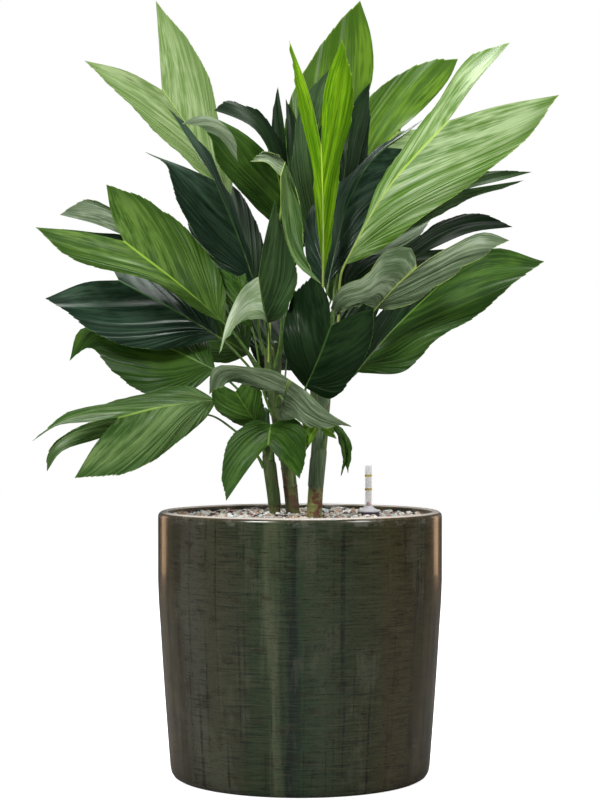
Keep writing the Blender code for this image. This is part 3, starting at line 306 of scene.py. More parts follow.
# %% Leaf tissue
def make_leaf_tissue():
    """Build the node group that colours and embosses leaf tissue."""
    tree, given, result = start_group(
        "leaf_tissue",
        {"Green": ("NodeSocketColor", (0.05, 0.14, 0.03, 1.0)),
         "Light": ("NodeSocketColor", (0.12, 0.26, 0.05, 1.0)),
         "Rib": ("NodeSocketColor", (0.25, 0.38, 0.10, 1.0)),
         "Gloss": ("NodeSocketFloat", 0.3),
         "Wax": ("NodeSocketFloat", 0.2)},
        {"Color": "NodeSocketColor", "Roughness": "NodeSocketFloat", "Height": "NodeSocketFloat",
         "Wax": "NodeSocketFloat"})
    place = tree.nodes.new("ShaderNodeUVMap")
    place.uv_map = "blade"
    split = tree.nodes.new("ShaderNodeSeparateXYZ")
    tree.links.new(place.outputs["UV"], split.inputs[0])
    vein, side = split.outputs["X"], split.outputs["Y"]
    out = math_node(tree, "ABSOLUTE", side)
    where = tree.nodes.new("ShaderNodeTexCoord")

    def streaks(across, along, detail):
        """Draw noise that is long along the veins."""
        place = tree.nodes.new("ShaderNodeCombineXYZ")
        tree.links.new(math_node(tree, "MULTIPLY", vein, across), place.inputs["X"])
        tree.links.new(math_node(tree, "MULTIPLY", side, along), place.inputs["Y"])
        noise = add_node(tree, "ShaderNodeTexNoise", Scale=1.0, Detail=detail, Roughness=0.6)
        tree.links.new(place.outputs[0], noise.inputs["Vector"])
        return noise.outputs["Fac"]

    fine = streaks(170.0, 3.0, 2.0)
    broad = streaks(26.0, 1.6, 3.0)
    clouds = add_node(tree, "ShaderNodeTexNoise", Scale=14.0, Detail=3.0, Roughness=0.5)
    tree.links.new(where.outputs["Object"], clouds.inputs["Vector"])
    lighter = math_node(tree, "ADD", math_node(tree, "MULTIPLY", band(tree, fine, 0.44, 0.60), 0.38),
                        math_node(tree, "MULTIPLY", band(tree, broad, 0.43, 0.60), 0.55))
    lighter = math_node(tree, "ADD", lighter,
                        math_node(tree, "MULTIPLY", band(tree, clouds.outputs["Fac"], 0.42, 0.66), 0.35))
    lighter = math_node(tree, "SUBTRACT", lighter, 0.16)
    calm = math_node(tree, "SUBTRACT", 1.0, math_node(tree, "MULTIPLY", band(tree, out, 0.75, 1.0), 0.7))
    calm = math_node(tree, "MULTIPLY", calm,
                     math_node(tree, "ADD", 0.65, math_node(tree, "MULTIPLY", vein, 0.6)))
    lighter = math_node(tree, "MULTIPLY", lighter, calm)
    tissue = mix_colours(tree, lighter, given.outputs["Green"], given.outputs["Light"])
    rib = math_node(tree, "SUBTRACT", 1.0, band(tree, out, 0.012, 0.035))
    edge = math_node(tree, "MULTIPLY", band(tree, out, 0.985, 1.0), 0.45)
    ribbed = mix_colours(tree, math_node(tree, "MULTIPLY", rib, 0.85), tissue, given.outputs["Rib"])
    ribbed = mix_colours(tree, edge, ribbed, given.outputs["Rib"])
    tree.links.new(ribbed, result.inputs["Color"])
    rough = math_node(tree, "ADD", given.outputs["Gloss"], math_node(tree, "MULTIPLY", broad, 0.2))
    tree.links.new(rough, result.inputs["Roughness"])
    height = math_node(tree, "ADD", math_node(tree, "MULTIPLY", fine, 0.6), math_node(tree, "MULTIPLY", broad, 1.0))
    tree.links.new(height, result.inputs["Height"])
    wax = math_node(tree, "MULTIPLY", band(tree, streaks(11.0, 1.1, 2.0), 0.42, 0.66), given.outputs["Wax"])
    tree.links.new(wax, result.inputs["Wax"])
    return tree


leaf_tissue = make_leaf_tissue()
print("group:", leaf_tissue.name)

# %% [markdown]
# ## Leaf finishes
#
# The upper face is waxy, so a thin coat gives it the cool sheen of this palm. The underside is matt and paler. The
# finishes differ with age: the oldest leaves are nearly black-green, the youngest spear is yellow-green. Some tones
# also carry painted light and shade. The near-black tone and the darkest underside are also painted shade on fronds
# deep in the plant and on the shaded half of a frond. The palest underside is painted light, and the waxy and sage
# greens hold a painted pale sheen. The coat's weight comes from the tissue's wax. Its roughness and the shine are set
# on the shader's own sockets, because they are the same all over.

# %% Leaf finishes
def leaf_material(name, green, light, rib, gloss, shine, wax):
    """Make a leaf finish from the tissue group."""
    material = bpy.data.materials.new(name)
    material.use_nodes = True
    tree = material.node_tree
    shader = tree.nodes["Principled BSDF"]
    tissue = tree.nodes.new("ShaderNodeGroup")
    tissue.node_tree = leaf_tissue
    tissue.inputs["Green"].default_value = (*green, 1.0)
    tissue.inputs["Light"].default_value = (*light, 1.0)
    tissue.inputs["Rib"].default_value = (*rib, 1.0)
    tissue.inputs["Gloss"].default_value = gloss
    tissue.inputs["Wax"].default_value = wax
    bump = add_node(tree, "ShaderNodeBump", Strength=0.45, Distance=0.0006)
    tree.links.new(tissue.outputs["Height"], bump.inputs["Height"])
    tree.links.new(tissue.outputs["Color"], shader.inputs["Base Color"])
    tree.links.new(tissue.outputs["Roughness"], shader.inputs["Roughness"])
    tree.links.new(bump.outputs["Normal"], shader.inputs["Normal"])
    tree.links.new(tissue.outputs["Wax"], shader.inputs["Coat Weight"])
    shader.inputs["Specular IOR Level"].default_value = shine
    shader.inputs["Coat Roughness"].default_value = 0.25
    return material


# Each tone has its darker green, its lighter green, its rachis, its roughness, its shine and its wax.
LEAF_TONES = {
    # The near-black tone is the colour of old leaves and also painted shade, for fronds deep in the plant and for
    # shaded halves.
    "dark": ((0.004, 0.014, 0.004), (0.014, 0.036, 0.010), (0.04, 0.10, 0.02), 0.34, 0.08, 0.12),
    "blue": ((0.005, 0.020, 0.009), (0.034, 0.072, 0.040), (0.06, 0.14, 0.04), 0.26, 0.2, 0.6),
    "mid": ((0.014, 0.046, 0.004), (0.052, 0.120, 0.014), (0.14, 0.26, 0.03), 0.34, 0.12, 0.25),
    # The sage tone is a greyish green with a painted grey sheen in its lighter green.
    "sage": ((0.026, 0.072, 0.010), (0.120, 0.195, 0.060), (0.20, 0.32, 0.05), 0.36, 0.12, 0.25),
    "fresh": ((0.026, 0.074, 0.006), (0.105, 0.190, 0.030), (0.26, 0.42, 0.04), 0.34, 0.12, 0.3),
    "bright": ((0.036, 0.096, 0.003), (0.110, 0.220, 0.012), (0.26, 0.42, 0.04), 0.32, 0.12, 0.3),
    # The waxy tone's pale lighter green is a painted white sheen, on top of its real coat.
    "waxy": ((0.060, 0.150, 0.004), (0.330, 0.450, 0.210), (0.34, 0.50, 0.08), 0.32, 0.2, 0.5),
    "spear": ((0.070, 0.190, 0.002), (0.220, 0.430, 0.008), (0.46, 0.58, 0.06), 0.36, 0.08, 0.1),
    # The palest underside is the paler underside with painted light on it, for the lit half of a fold.
    "pale_and_lit_underside": ((0.300, 0.440, 0.200), (0.680, 0.800, 0.580), (0.55, 0.66, 0.40), 0.45, 0.1, 0.1),
    "under_pale": ((0.110, 0.190, 0.045), (0.280, 0.370, 0.170), (0.34, 0.46, 0.14), 0.5, 0.1, 0.0),
    "under_grey": ((0.065, 0.105, 0.045), (0.240, 0.310, 0.190), (0.28, 0.38, 0.10), 0.42, 0.12, 0.25),
    # The darkest underside is the dark underside of old leaves and also painted shade on undersides deep in the plant
    # and on the shaded half of a fold.
    "under_dark": ((0.020, 0.050, 0.014), (0.060, 0.115, 0.035), (0.14, 0.22, 0.05), 0.42, 0.1, 0.1),
}
leaf_finish = {tone: leaf_material("leaf_" + tone, *look) for tone, look in LEAF_TONES.items()}
print("leaf finishes:", sorted(leaf_finish))

# %% [markdown]
# ## Stalk and sheath finishes
#
# Petioles and rachises are smooth and a lighter yellow-green, with faint lengthwise streaks. A sheath is drier. Its
# edges, where it opens, are thin and go brown. The sheath's map holds its height in its first number and the
# distance from its middle line in its second, so the brown can follow the edge.

# %% Stalk and sheath finishes
def streaked_material(name, dark, light, rough=0.4, edge=None):
    """Make a finish with lengthwise streaks, and with a dry brown edge where one is asked for."""
    material = bpy.data.materials.new(name)
    material.use_nodes = True
    tree = material.node_tree
    shader = tree.nodes["Principled BSDF"]
    streaks = use_group(tree, plant_streaks, Dark=(*dark, 1.0), Light=(*light, 1.0))
    colour, height = streaks.outputs["Color"], streaks.outputs["Height"]
    if edge:
        place = tree.nodes.new("ShaderNodeUVMap")
        place.uv_map = "blade"
        split = tree.nodes.new("ShaderNodeSeparateXYZ")
        tree.links.new(place.outputs["UV"], split.inputs[0])
        out = math_node(tree, "ABSOLUTE", split.outputs["Y"])
        high = band(tree, split.outputs["X"], 0.35, 0.7)
        dry = math_node(tree, "MULTIPLY", high, band(tree, math_node(
            tree, "ADD", out, math_node(tree, "MULTIPLY", height, 0.25)), 0.98, 1.12))
        colour = mix_colours(tree, dry, colour, (*edge, 1.0))
    tree.links.new(colour, shader.inputs["Base Color"])
    shader.inputs["Roughness"].default_value = rough
    bump = add_node(tree, "ShaderNodeBump", Strength=0.3, Distance=0.0004)
    tree.links.new(height, bump.inputs["Height"])
    tree.links.new(bump.outputs["Normal"], shader.inputs["Normal"])
    return material


stalk_green = streaked_material("stalk_green", (0.030, 0.085, 0.012), (0.11, 0.21, 0.035))
stalk_pale = streaked_material("stalk_pale", (0.22, 0.32, 0.05), (0.40, 0.48, 0.12))
sheath_olive = streaked_material("sheath_olive", (0.030, 0.060, 0.014), (0.085, 0.125, 0.035), 0.5, (0.11, 0.07, 0.03))
sheath_pale = streaked_material("sheath_pale", (0.055, 0.105, 0.040), (0.160, 0.230, 0.120), 0.5, (0.16, 0.08, 0.04))
print("stalk and sheath finishes ready")

# %% [markdown]
# ## Where the leaves are
#
# The table below is the plant. Each frond is listed with the cane that it grows from, the rachis of its blade and the
# outlines of its two halves, all as listed (across, up) places. It is the same table as the solids use, so that each
# fine leaf lies where its solid lies. A scan or a grown plant would be other ways. A table was chosen because every
# leaf of this plant has its own twist.

# %% The table's records
SOIL_TOP = 29.0
BLADE_HALF = 0.04
CROWN = 1.4
PLEAT = 0.05
PLEAT_ACROSS = np.array([0.6, 1.0, 0.0, 1.0, 0.6])
TOOTH = 0.30
RIB_KEEL = 0.12
PETIOLE_WIDE = 0.17
PETIOLE_DEEP = 0.13
PETIOLE_GAP = 0.14
CANE_GAP = 0.16
SHEATH_SPAN = math.radians(20)
SHEATHS_APART = math.radians(8)
SHEATH_LENGTH = 0.8
SHEATH_THICK = 0.12
SHEATH_DEEP = np.array([0.5, 1.0, 1.0, 1.0, 0.5])
SCAR = 0.05
FIRST_SCAR = 1.4
SCAR_STEP = 2.1
LEAN = 0.45
PETIOLE_STOPS = (0.14, 0.36, 0.62, 0.94)
BAR_ACROSS = np.array([-1.0, -0.6, 0.0, 0.6, 1.0])
BAR_DEEP = np.array([0.35, 0.85, 1.0, 0.85, 0.35])
CLEAR = 0.50
ROUNDS = 260
PETIOLE_ROUNDS = 150
LEVEL = np.array([1.0, 1.0, 0.35])
SHEATH_ROUNDS = 200
SHORT = 1e-3


@dataclass
class Cane:
    """A standing stem: its path as (across, up, forward), and its thickness at the foot and the top."""
    name: str
    path: list
    foot: float
    top: float
    colour: tuple


@dataclass
class Frond:
    """A bifid leaf on its petiole, listed by where its parts are seen.

    rib runs from the blade's base to the notch. Each half is its toothed edge from the base to the tip and
    its plain inner edge from the notch to the tip. depths are the distances forward of the base, the notch,
    the first tip and the second tip, and lifts are how far forward each toothed edge lies of a flat blade.
    """
    name: str
    cane: str
    height: float
    depths: tuple
    lifts: tuple
    rib: list
    edges: tuple
    inners: tuple = ((), ())
    teeth: int = 6
    shows: str = "upper"
    colour: tuple = (0.06, 0.16, 0.03)
    bearing: float = 0.0
    grid: object = field(default=None, repr=False)


print("records ready")

# %% The canes and the fronds
DARK = (0.014, 0.045, 0.022)
BLUE = (0.03, 0.075, 0.055)
MID = (0.045, 0.14, 0.024)
BRIGHT = (0.09, 0.25, 0.02)
SPEAR = (0.22, 0.38, 0.01)
PALE = (0.22, 0.32, 0.12)
GREY = (0.17, 0.21, 0.12)
CANES = [
    Cane("stem_left", [(-2.8, 24.5, -2.0), (-2.8, 29.2, -2.0), (-3.6, 36.5, -1.6), (-4.0, 41.5, -1.4)],
         0.65, 0.45, (0.03, 0.07, 0.03)),
    Cane("stem_middle", [(-0.8, 24.5, -3.4), (-0.8, 29.3, -3.4), (-1.2, 34.0, -3.4), (-2.5, 40.7, -3.2),
                         (-3.2, 44.0, -3.0), (-3.4, 48.5, -3.0)], 0.78, 0.45, (0.07, 0.10, 0.03)),
    Cane("stem_right", [(1.6, 24.5, 3.0), (1.6, 29.0, 3.0), (2.2, 37.5, 2.8), (2.6, 42.0, 2.5),
                        (2.9, 50.0, 2.2)], 0.86, 0.50, (0.08, 0.12, 0.06)),
    Cane("stem_back_left", [(-1.0, 24.5, -8.0), (-1.0, 29.3, -8.0), (-1.5, 34.0, -8.4), (-2.6, 41.0, -9.2),
                            (-2.8, 49.0, -10.0)], 0.62, 0.45, (0.05, 0.08, 0.03)),
    Cane("stem_back_right", [(1.9, 24.5, -6.5), (1.9, 29.3, -6.5), (2.1, 34.0, -7.0), (1.9, 41.0, -7.8),
                             (1.6, 50.0, -8.6)], 0.62, 0.45, (0.05, 0.08, 0.03)),
]
LAYERS = [
    Frond("frond_front_curled", "stem_middle", 41.6, (5.0, 12.0, 13.0, 12.0), (0.6, 0.8),
          [(-1.7, 42.2), (-1.5, 43.6), (-1.1, 44.5)],
          ([(-2.6, 43.4), (-5.7, 43.7), (-7.6, 44.3), (-9.0, 43.6), (-10.25, 42.9)],
           [(-2.4, 40.0), (-0.4, 40.1), (1.2, 39.1), (3.9, 39.2), (5.85, 39.3)]),
          ([(-2.7, 45.4), (-5.7, 45.9), (-9.9, 45.7)], [(0.6, 43.4), (2.9, 41.1)]),
          shows="under", teeth=6, colour=GREY),
    Frond("frond_front_low", "stem_left", 35.6, (3.0, 8.0, 13.0, 13.0), (1.0, 1.0),
          [(-3.3, 39.5), (-3.6, 37.2)],
          ([(-1.4, 40.3), (0.4, 39.4), (0.7, 36.4), (0.55, 34.7), (-0.05, 33.4)],
           [(-5.2, 39.9), (-7.7, 38.5), (-8.7, 35.7), (-8.9, 33.2), (-8.35, 30.8)]),
          ([(-2.65, 36.0)], [(-5.4, 35.0)]), teeth=5, colour=MID),
    Frond("frond_low_bright", "stem_left", 36.2, (1.6, 3.4, 4.6, 4.2), (0.2, 0.6),
          [(-4.6, 39.2), (-6.0, 41.2), (-7.3, 43.2)],
          ([(-6.5, 39.4), (-8.8, 40.4), (-10.0, 42.0), (-10.0, 44.6)],
           [(-4.0, 40.6), (-4.1, 42.2), (-4.6, 43.9), (-5.8, 45.0)]), teeth=5, colour=BRIGHT),
    Frond("frond_low_left", "stem_left", 39.2, (2.0, 8.0, 10.0, 6.0), (2.6, -2.4),
          [(-9.4, 42.2), (-14.8, 41.7), (-20.5, 40.3)],
          ([(-10.8, 40.0), (-13.2, 38.0), (-16.4, 35.4), (-20.7, 33.7), (-25.5, 33.4)],
           [(-12.0, 43.7), (-16.0, 43.3), (-22.0, 41.9), (-27.3, 40.2), (-30.2, 37.6)]),
          ([(-22.9, 37.6)], [(-24.0, 39.8), (-27.5, 39.3)]), teeth=7, colour=MID),
    Frond("frond_folded", "stem_middle", 44.6, (3.0, 7.0, 13.0, 9.0), (1.4, 0.6),
          [(-3.6, 50.9), (-4.3, 53.6), (-4.7, 56.2)],
          ([(-4.1, 51.3), (-5.6, 51.4), (-7.6, 50.4), (-9.05, 47.5)],
           [(-2.2, 51.5), (-0.75, 53.9), (-0.4, 57.2), (-1.4, 60.0), (-2.9, 64.9)]),
          ([(-6.2, 55.2), (-8.0, 52.0)], [(-4.2, 59.6)]), teeth=5, shows="under", colour=PALE),
    Frond("frond_hanging", "stem_middle", 46.6, (6.0, 9.0, 14.0, 9.0), (0.5, 0.4),
          [(-1.7, 69.2), (-2.2, 67.6)],
          ([(-0.6, 66.6), (0.35, 62.0), (0.55, 58.6), (2.4, 55.4)],
           [(-3.0, 70.2), (-4.5, 70.3), (-5.6, 69.35)]),
          ([(-1.9, 62.2), (-0.2, 57.4)], [(-3.8, 69.0)]), teeth=5, shows="under", colour=PALE),
    Frond("frond_small_bright", "stem_right", 39.0, (5.2, 7.4, 9.0, 9.0), (0.4, 0.4),
          [(2.2, 41.2), (2.2, 39.4)],
          ([(3.3, 40.6), (3.8, 39.4), (4.1, 37.95)], [(0.8, 40.4), (0.1, 38.6), (0.65, 36.5)]),
          ([(2.9, 38.3)], [(1.6, 38.0)]), teeth=4, colour=BRIGHT),
    Frond("frond_withered", "stem_right", 36.8, (5.0, 7.0, 8.2, 8.0), (0.2, 0.2),
          [(3.3, 40.0), (4.75, 38.0), (5.3, 36.2), (5.1, 34.9)],
          ([(4.4, 37.7), (4.8, 36.0), (4.6, 33.6)], [(4.3, 39.4), (5.5, 38.0), (5.9, 36.2), (5.4, 34.0)]),
          teeth=4, colour=PALE),
    Frond("frond_centre_dark", "stem_right", 40.4, (5.5, 8.0, 8.2, 12.0), (0.8, 1.0),
          [(0.6, 43.6), (2.2, 47.2), (3.5, 50.6)],
          ([(-1.4, 46.4), (-1.9, 50.6), (-0.7, 54.4), (1.6, 56.6)],
           [(3.3, 42.4), (6.7, 45.7), (8.1, 48.6), (8.4, 52.5)]),
          ([(3.2, 53.6)], [(5.9, 51.9)]), teeth=6, colour=DARK),
    "stem_right",
    Frond("frond_spear", "stem_right", 48.2, (3.4, 4.6, 5.4, 5.2), (-2.6, -2.6),
          [(2.6, 55.6), (2.6, 63.0), (2.4, 71.0)],
          ([(2.0, 62.4), (1.45, 68.6), (-0.3, 76.4), (-1.3, 82.9)],
           [(3.8, 62.4), (4.5, 68.8), (6.1, 77.6), (4.75, 83.0)]),
          ([(0.9, 77.2)], [(2.9, 78.0)]), teeth=7, colour=SPEAR),
    Frond("frond_arching", "stem_middle", 45.8, (1.0, 5.0, 13.0, 3.0), (2.4, -1.6),
          [(-2.4, 61.6), (-2.1, 65.8), (-2.9, 69.2)],
          ([(-4.8, 63.8), (-7.4, 66.5), (-9.8, 69.8), (-10.2, 72.0), (-11.2, 73.0), (-13.3, 73.5)],
           [(-1.3, 66.0), (-2.0, 71.5), (-5.0, 75.0), (-8.7, 76.0), (-9.75, 74.9)]),
          ([(-4.6, 71.0), (-7.9, 73.3), (-11.5, 74.4)], [(-5.4, 73.0), (-8.2, 74.4)]), teeth=6, colour=MID),
    "stem_left",
    Frond("frond_left", "stem_middle", 43.6, (1.0, 3.0, 7.0, 1.0), (1.8, -1.8),
          [(-8.5, 50.9), (-12.9, 54.7), (-19.9, 60.2)],
          ([(-11.6, 52.4), (-16.1, 55.4), (-21.8, 57.0), (-26.5, 58.5), (-29.9, 61.75)],
           [(-8.4, 54.6), (-10.9, 59.4), (-14.2, 62.9), (-18.7, 65.7), (-21.9, 66.6)]),
          ([(-24.7, 61.3)], [(-21.1, 62.8)]), teeth=7, colour=BRIGHT),
    "stem_middle",
    Frond("frond_right_grey", "stem_right", 44.2, (3.0, 6.0, 6.0, 9.0), (1.6, 1.4),
          [(8.5, 52.6), (10.8, 55.1), (13.2, 57.2)],
          ([(7.0, 53.1), (5.2, 52.4), (4.0, 51.8), (3.4, 52.6)],
           [(10.0, 52.4), (14.0, 54.1), (18.0, 56.8), (20.8, 58.5), (23.65, 60.3)]),
          ([(12.7, 59.3), (9.9, 59.3), (7.4, 56.2), (4.6, 55.0)], [(16.6, 59.4), (21.3, 61.2)]),
          teeth=6, shows="under", colour=GREY),
    Frond("frond_right", "stem_right", 47.2, (2.0, 3.5, -1.0, 5.0), (-4.0, 2.4),
          [(4.9, 57.4), (9.9, 66.2), (16.7, 73.8)],
          ([(7.0, 61.8), (10.6, 69.2), (15.2, 75.4), (19.4, 81.2), (23.7, 82.65)],
           [(8.6, 58.9), (13.8, 62.8), (20.0, 67.1), (25.9, 72.1), (29.3, 76.7)]),
          ([(20.6, 79.3)], [(22.4, 75.5)]), teeth=8, colour=BRIGHT),
    Frond("frond_left_inner", "stem_middle", 40.6, (-1.6, -1.2, -1.0, -1.4), (0.3, 0.3),
          [(-5.4, 50.4), (-6.4, 53.4), (-7.0, 56.2)],
          ([(-7.6, 51.6), (-8.8, 54.4), (-9.2, 57.2)], [(-5.3, 52.6), (-5.7, 55.0), (-6.1, 56.6)]),
          teeth=4, colour=MID),
    Frond("frond_upper_left", "stem_middle", 47.4, (-3.0, -1.0, 4.0, -5.0), (1.8, -3.0),
          [(-5.0, 55.0), (-7.0, 60.8), (-9.6, 67.0)],
          ([(-8.6, 57.2), (-11.7, 60.6), (-14.4, 66.0), (-15.6, 69.4), (-17.4, 70.3)],
           [(-6.3, 60.7), (-7.8, 65.0), (-11.6, 72.0), (-15.0, 75.1)]),
          ([(-12.9, 68.5)], [(-12.2, 71.0)]), teeth=6, colour=BLUE),
    Frond("frond_left_glossy", "stem_middle", 42.6, (-2.0, -1.0, 1.0, -5.0), (2.2, -2.6),
          [(-9.2, 49.4), (-14.3, 52.5), (-20.5, 55.8)],
          ([(-11.5, 48.7), (-16.0, 47.9), (-22.0, 49.1), (-26.4, 52.0), (-28.8, 53.7)],
           [(-10.0, 52.0), (-14.0, 55.6), (-18.0, 57.4), (-21.7, 57.6)]),
          ([(-24.0, 55.6)], ()), teeth=7, colour=BLUE),
    Frond("frond_left_striped", "stem_left", 40.0, (-0.5, -3.0, -4.0, -9.0), (1.8, -2.2),
          [(-9.5, 45.6), (-13.5, 47.6), (-18.0, 49.4)],
          ([(-12.5, 43.2), (-17.1, 42.7), (-21.1, 45.3), (-24.0, 48.1), (-26.0, 46.7)],
           [(-10.5, 49.0), (-15.0, 51.8), (-20.0, 52.8)]),
          ([(-22.0, 50.6), (-24.8, 50.2)], ()), teeth=6, colour=MID),
    Frond("frond_low_left_pale", "stem_left", 34.6, (0.0, 1.0, 2.0, 2.0), (0.6, -0.4),
          [(-10.6, 40.7), (-15.0, 40.3), (-19.0, 39.0)],
          ([(-14.0, 39.2), (-18.0, 37.0), (-22.4, 35.6)],
           [(-14.0, 41.6), (-20.0, 40.6), (-25.4, 39.1), (-28.7, 36.0), (-28.6, 34.2)]),
          ((), [(-23.5, 37.6), (-27.2, 36.2)]), teeth=5, shows="under", colour=PALE),
    Frond("frond_blue_rib", "stem_right", 45.2, (0.0, -2.5, -6.0, -3.5), (0.8, 1.0),
          [(3.1, 55.0), (4.2, 60.0), (5.6, 65.0), (7.8, 69.0), (9.6, 70.8)],
          ([(1.6, 55.6), (0.7, 58.2), (1.0, 63.6), (4.6, 67.0), (9.0, 70.9), (13.8, 73.9)],
           [(6.0, 59.2), (9.0, 64.0), (12.4, 67.6), (14.6, 70.4)]),
          teeth=6, colour=BLUE),
    Frond("frond_upright", "stem_right", 46.2, (-1.2, -3.4, -6.0, -5.5), (-1.0, -0.6),
          [(3.9, 58.0), (4.6, 64.0), (5.3, 70.4)],
          ([(2.7, 62.6), (2.9, 71.0), (4.1, 75.2), (5.2, 77.0)],
           [(6.2, 62.0), (7.4, 67.4), (7.9, 72.6), (7.9, 78.1)]),
          ((), [(6.4, 76.4)]), teeth=6, colour=DARK),
    Frond("frond_upright_grey", "stem_back_right", 47.8, (-6.0, -7.0, -9.0, -10.0), (0.6, -0.5),
          [(1.4, 59.0), (1.7, 65.5), (1.9, 72.4)],
          ([(-0.4, 64.0), (-0.8, 71.0), (0.7, 77.0), (3.3, 79.7)],
           [(3.6, 66.0), (4.6, 73.6), (4.9, 78.0)]), teeth=5, colour=GREY),
    Frond("frond_centre_back", "stem_back_left", 47.0, (-7.5, -9.0, -13.0, -11.0), (-0.6, 0.6),
          [(-0.6, 57.0), (-0.8, 63.6), (-1.5, 70.6)],
          ([(-2.7, 62.4), (-3.7, 69.2), (-3.2, 73.8), (-2.45, 77.6)],
           [(1.2, 62.4), (1.4, 67.2), (0.3, 72.0), (-1.6, 76.3)]), teeth=5, colour=DARK),
    Frond("frond_right_dark", "stem_back_right", 44.4, (-5.0, -9.0, -14.0, -12.0), (-1.0, 0.8),
          [(4.6, 53.4), (9.0, 56.4), (14.6, 59.2)],
          ([(4.5, 56.8), (8.3, 58.7), (11.4, 59.3), (16.6, 62.9), (21.0, 63.2), (24.0, 61.8)],
           [(8.4, 53.4), (13.0, 56.0), (18.0, 59.4)]),
          ([(19.4, 61.2)], ()), teeth=6, colour=DARK),
    Frond("frond_lower_right", "stem_right", 42.4, (-0.5, -1.5, -7.0, 0.5), (-2.4, 2.8),
          [(6.3, 45.3), (10.4, 50.1), (17.2, 56.6)],
          ([(7.2, 49.6), (10.5, 54.0), (15.0, 57.7), (20.4, 60.0)],
           [(12.2, 45.6), (15.4, 49.0), (19.2, 51.2), (24.3, 55.4), (27.6, 57.9)]),
          ((), [(21.6, 59.4)]), teeth=7, colour=MID),
    Frond("frond_right_narrow", "stem_back_right", 46.0, (-6.0, -8.0, -11.0, -10.0), (-0.8, 0.6),
          [(6.0, 59.0), (11.0, 62.0), (18.0, 66.0)],
          ([(7.2, 61.0), (12.0, 65.0), (18.0, 67.8), (23.4, 68.2), (26.2, 68.0)],
           [(9.0, 59.7), (13.8, 62.2), (20.0, 65.2), (25.3, 67.1)]), teeth=5, shows="under", colour=GREY),
    Frond("frond_upper_right", "stem_back_right", 47.0, (-8.0, -11.0, -17.0, -14.0), (-1.6, 1.2),
          [(4.6, 59.0), (6.0, 64.6), (8.2, 69.4), (11.0, 72.6)],
          ([(4.4, 66.0), (6.2, 74.6), (11.0, 79.0), (15.0, 80.8), (17.8, 80.7)],
           [(8.0, 62.6), (13.0, 66.4), (18.0, 70.4), (20.4, 73.6)]),
          ([(14.6, 75.8), (17.0, 78.8)], ()), teeth=6, colour=BRIGHT),
    Frond("frond_top", "stem_back_right", 48.6, (-9.5, -12.0, -15.0, -19.0), (0.8, -0.8),
          [(1.8, 60.0), (4.2, 67.4), (6.6, 73.6)],
          ([(-1.6, 68.0), (-1.2, 76.2), (1.4, 81.0), (4.6, 85.4), (6.8, 87.4)],
           [(6.4, 63.6), (10.0, 69.0), (12.4, 76.4)]),
          ([(8.3, 79.4), (8.0, 83.6)], ()), teeth=6, colour=BRIGHT),
    Frond("frond_top_left", "stem_back_left", 46.2, (-9.0, -12.0, -13.0, -17.0), (1.0, -0.8),
          [(-7.8, 64.8), (-11.0, 70.4), (-15.6, 77.3)],
          ([(-10.4, 66.8), (-14.3, 70.8), (-17.6, 73.9), (-20.9, 77.1), (-24.35, 80.6)],
           [(-7.6, 67.4), (-9.0, 73.0), (-10.2, 78.6), (-12.6, 83.0), (-16.3, 87.3)]),
          ([(-19.3, 79.3)], [(-15.9, 82.0)]), teeth=7, shows="under", colour=PALE),
    Frond("frond_left_pale", "stem_back_left", 42.6, (-9.0, -11.0, -14.0, -13.0), (0.6, -0.6),
          [(-10.0, 53.6), (-13.8, 57.8), (-17.0, 60.2), (-20.0, 60.9)],
          ([(-13.0, 54.6), (-17.6, 57.4), (-23.0, 60.0), (-27.0, 61.6)],
           [(-11.4, 58.6), (-15.4, 62.0), (-20.4, 63.6), (-24.6, 65.0), (-27.15, 63.2)]),
          ((), [(-23.0, 62.1)]), teeth=5, shows="under", colour=PALE),
    "stem_back_right",
    "stem_back_left",
    Frond("frond_back_right", "stem_back_right", 43.2, (-13.0, -18.0, -24.0, -22.0), (-1.0, 1.0),
          [(3.4, 53.4), (5.4, 56.6), (8.0, 60.2)],
          ([(2.4, 56.4), (4.6, 61.6), (7.6, 64.8), (11.6, 66.4)],
           [(6.6, 54.6), (10.0, 57.4), (13.4, 60.4), (15.0, 63.0)]), teeth=5, colour=MID),
    Frond("frond_back_left", "stem_back_left", 44.6, (-13.5, -18.0, -23.0, -24.5), (1.0, -1.0),
          [(-4.6, 53.2), (-6.6, 56.6), (-9.0, 60.4)],
          ([(-7.8, 54.8), (-10.6, 58.2), (-12.6, 61.6), (-13.0, 64.0)],
           [(-3.4, 57.0), (-4.6, 61.6), (-6.4, 65.2), (-8.6, 67.4)]), teeth=5, colour=DARK),
    Frond("frond_back_top", "stem_back_left", 47.8, (-14.0, -18.0, -22.0, -22.0), (0.6, 0.6),
          [(-0.4, 59.0), (-0.3, 62.6), (-0.2, 66.0)],
          ([(-3.0, 61.0), (-3.6, 65.6), (-2.8, 69.4), (-2.0, 72.0)],
           [(2.4, 61.0), (3.4, 65.6), (3.0, 69.6), (2.6, 72.4)]), teeth=5, colour=MID),
    Frond("frond_back_low_left", "stem_back_left", 40.8, (-14.0, -19.0, -24.0, -26.0), (1.2, -1.0),
          [(-5.8, 47.4), (-8.0, 48.8), (-10.6, 50.0)],
          ([(-8.6, 46.4), (-11.6, 47.0), (-14.2, 48.2), (-16.0, 49.6)],
           [(-5.6, 50.6), (-7.6, 53.2), (-10.4, 54.8), (-12.6, 55.4)]), teeth=5, colour=MID),
    Frond("frond_back_low_right", "stem_back_right", 41.8, (-14.0, -19.0, -25.0, -24.0), (-1.0, 1.2),
          [(3.2, 48.0), (5.4, 49.2), (7.8, 50.0)],
          ([(2.6, 51.0), (4.6, 53.2), (7.4, 54.4), (9.8, 54.6)],
           [(6.0, 46.6), (9.0, 46.8), (11.6, 48.0), (13.4, 49.6)]), teeth=5, colour=DARK),
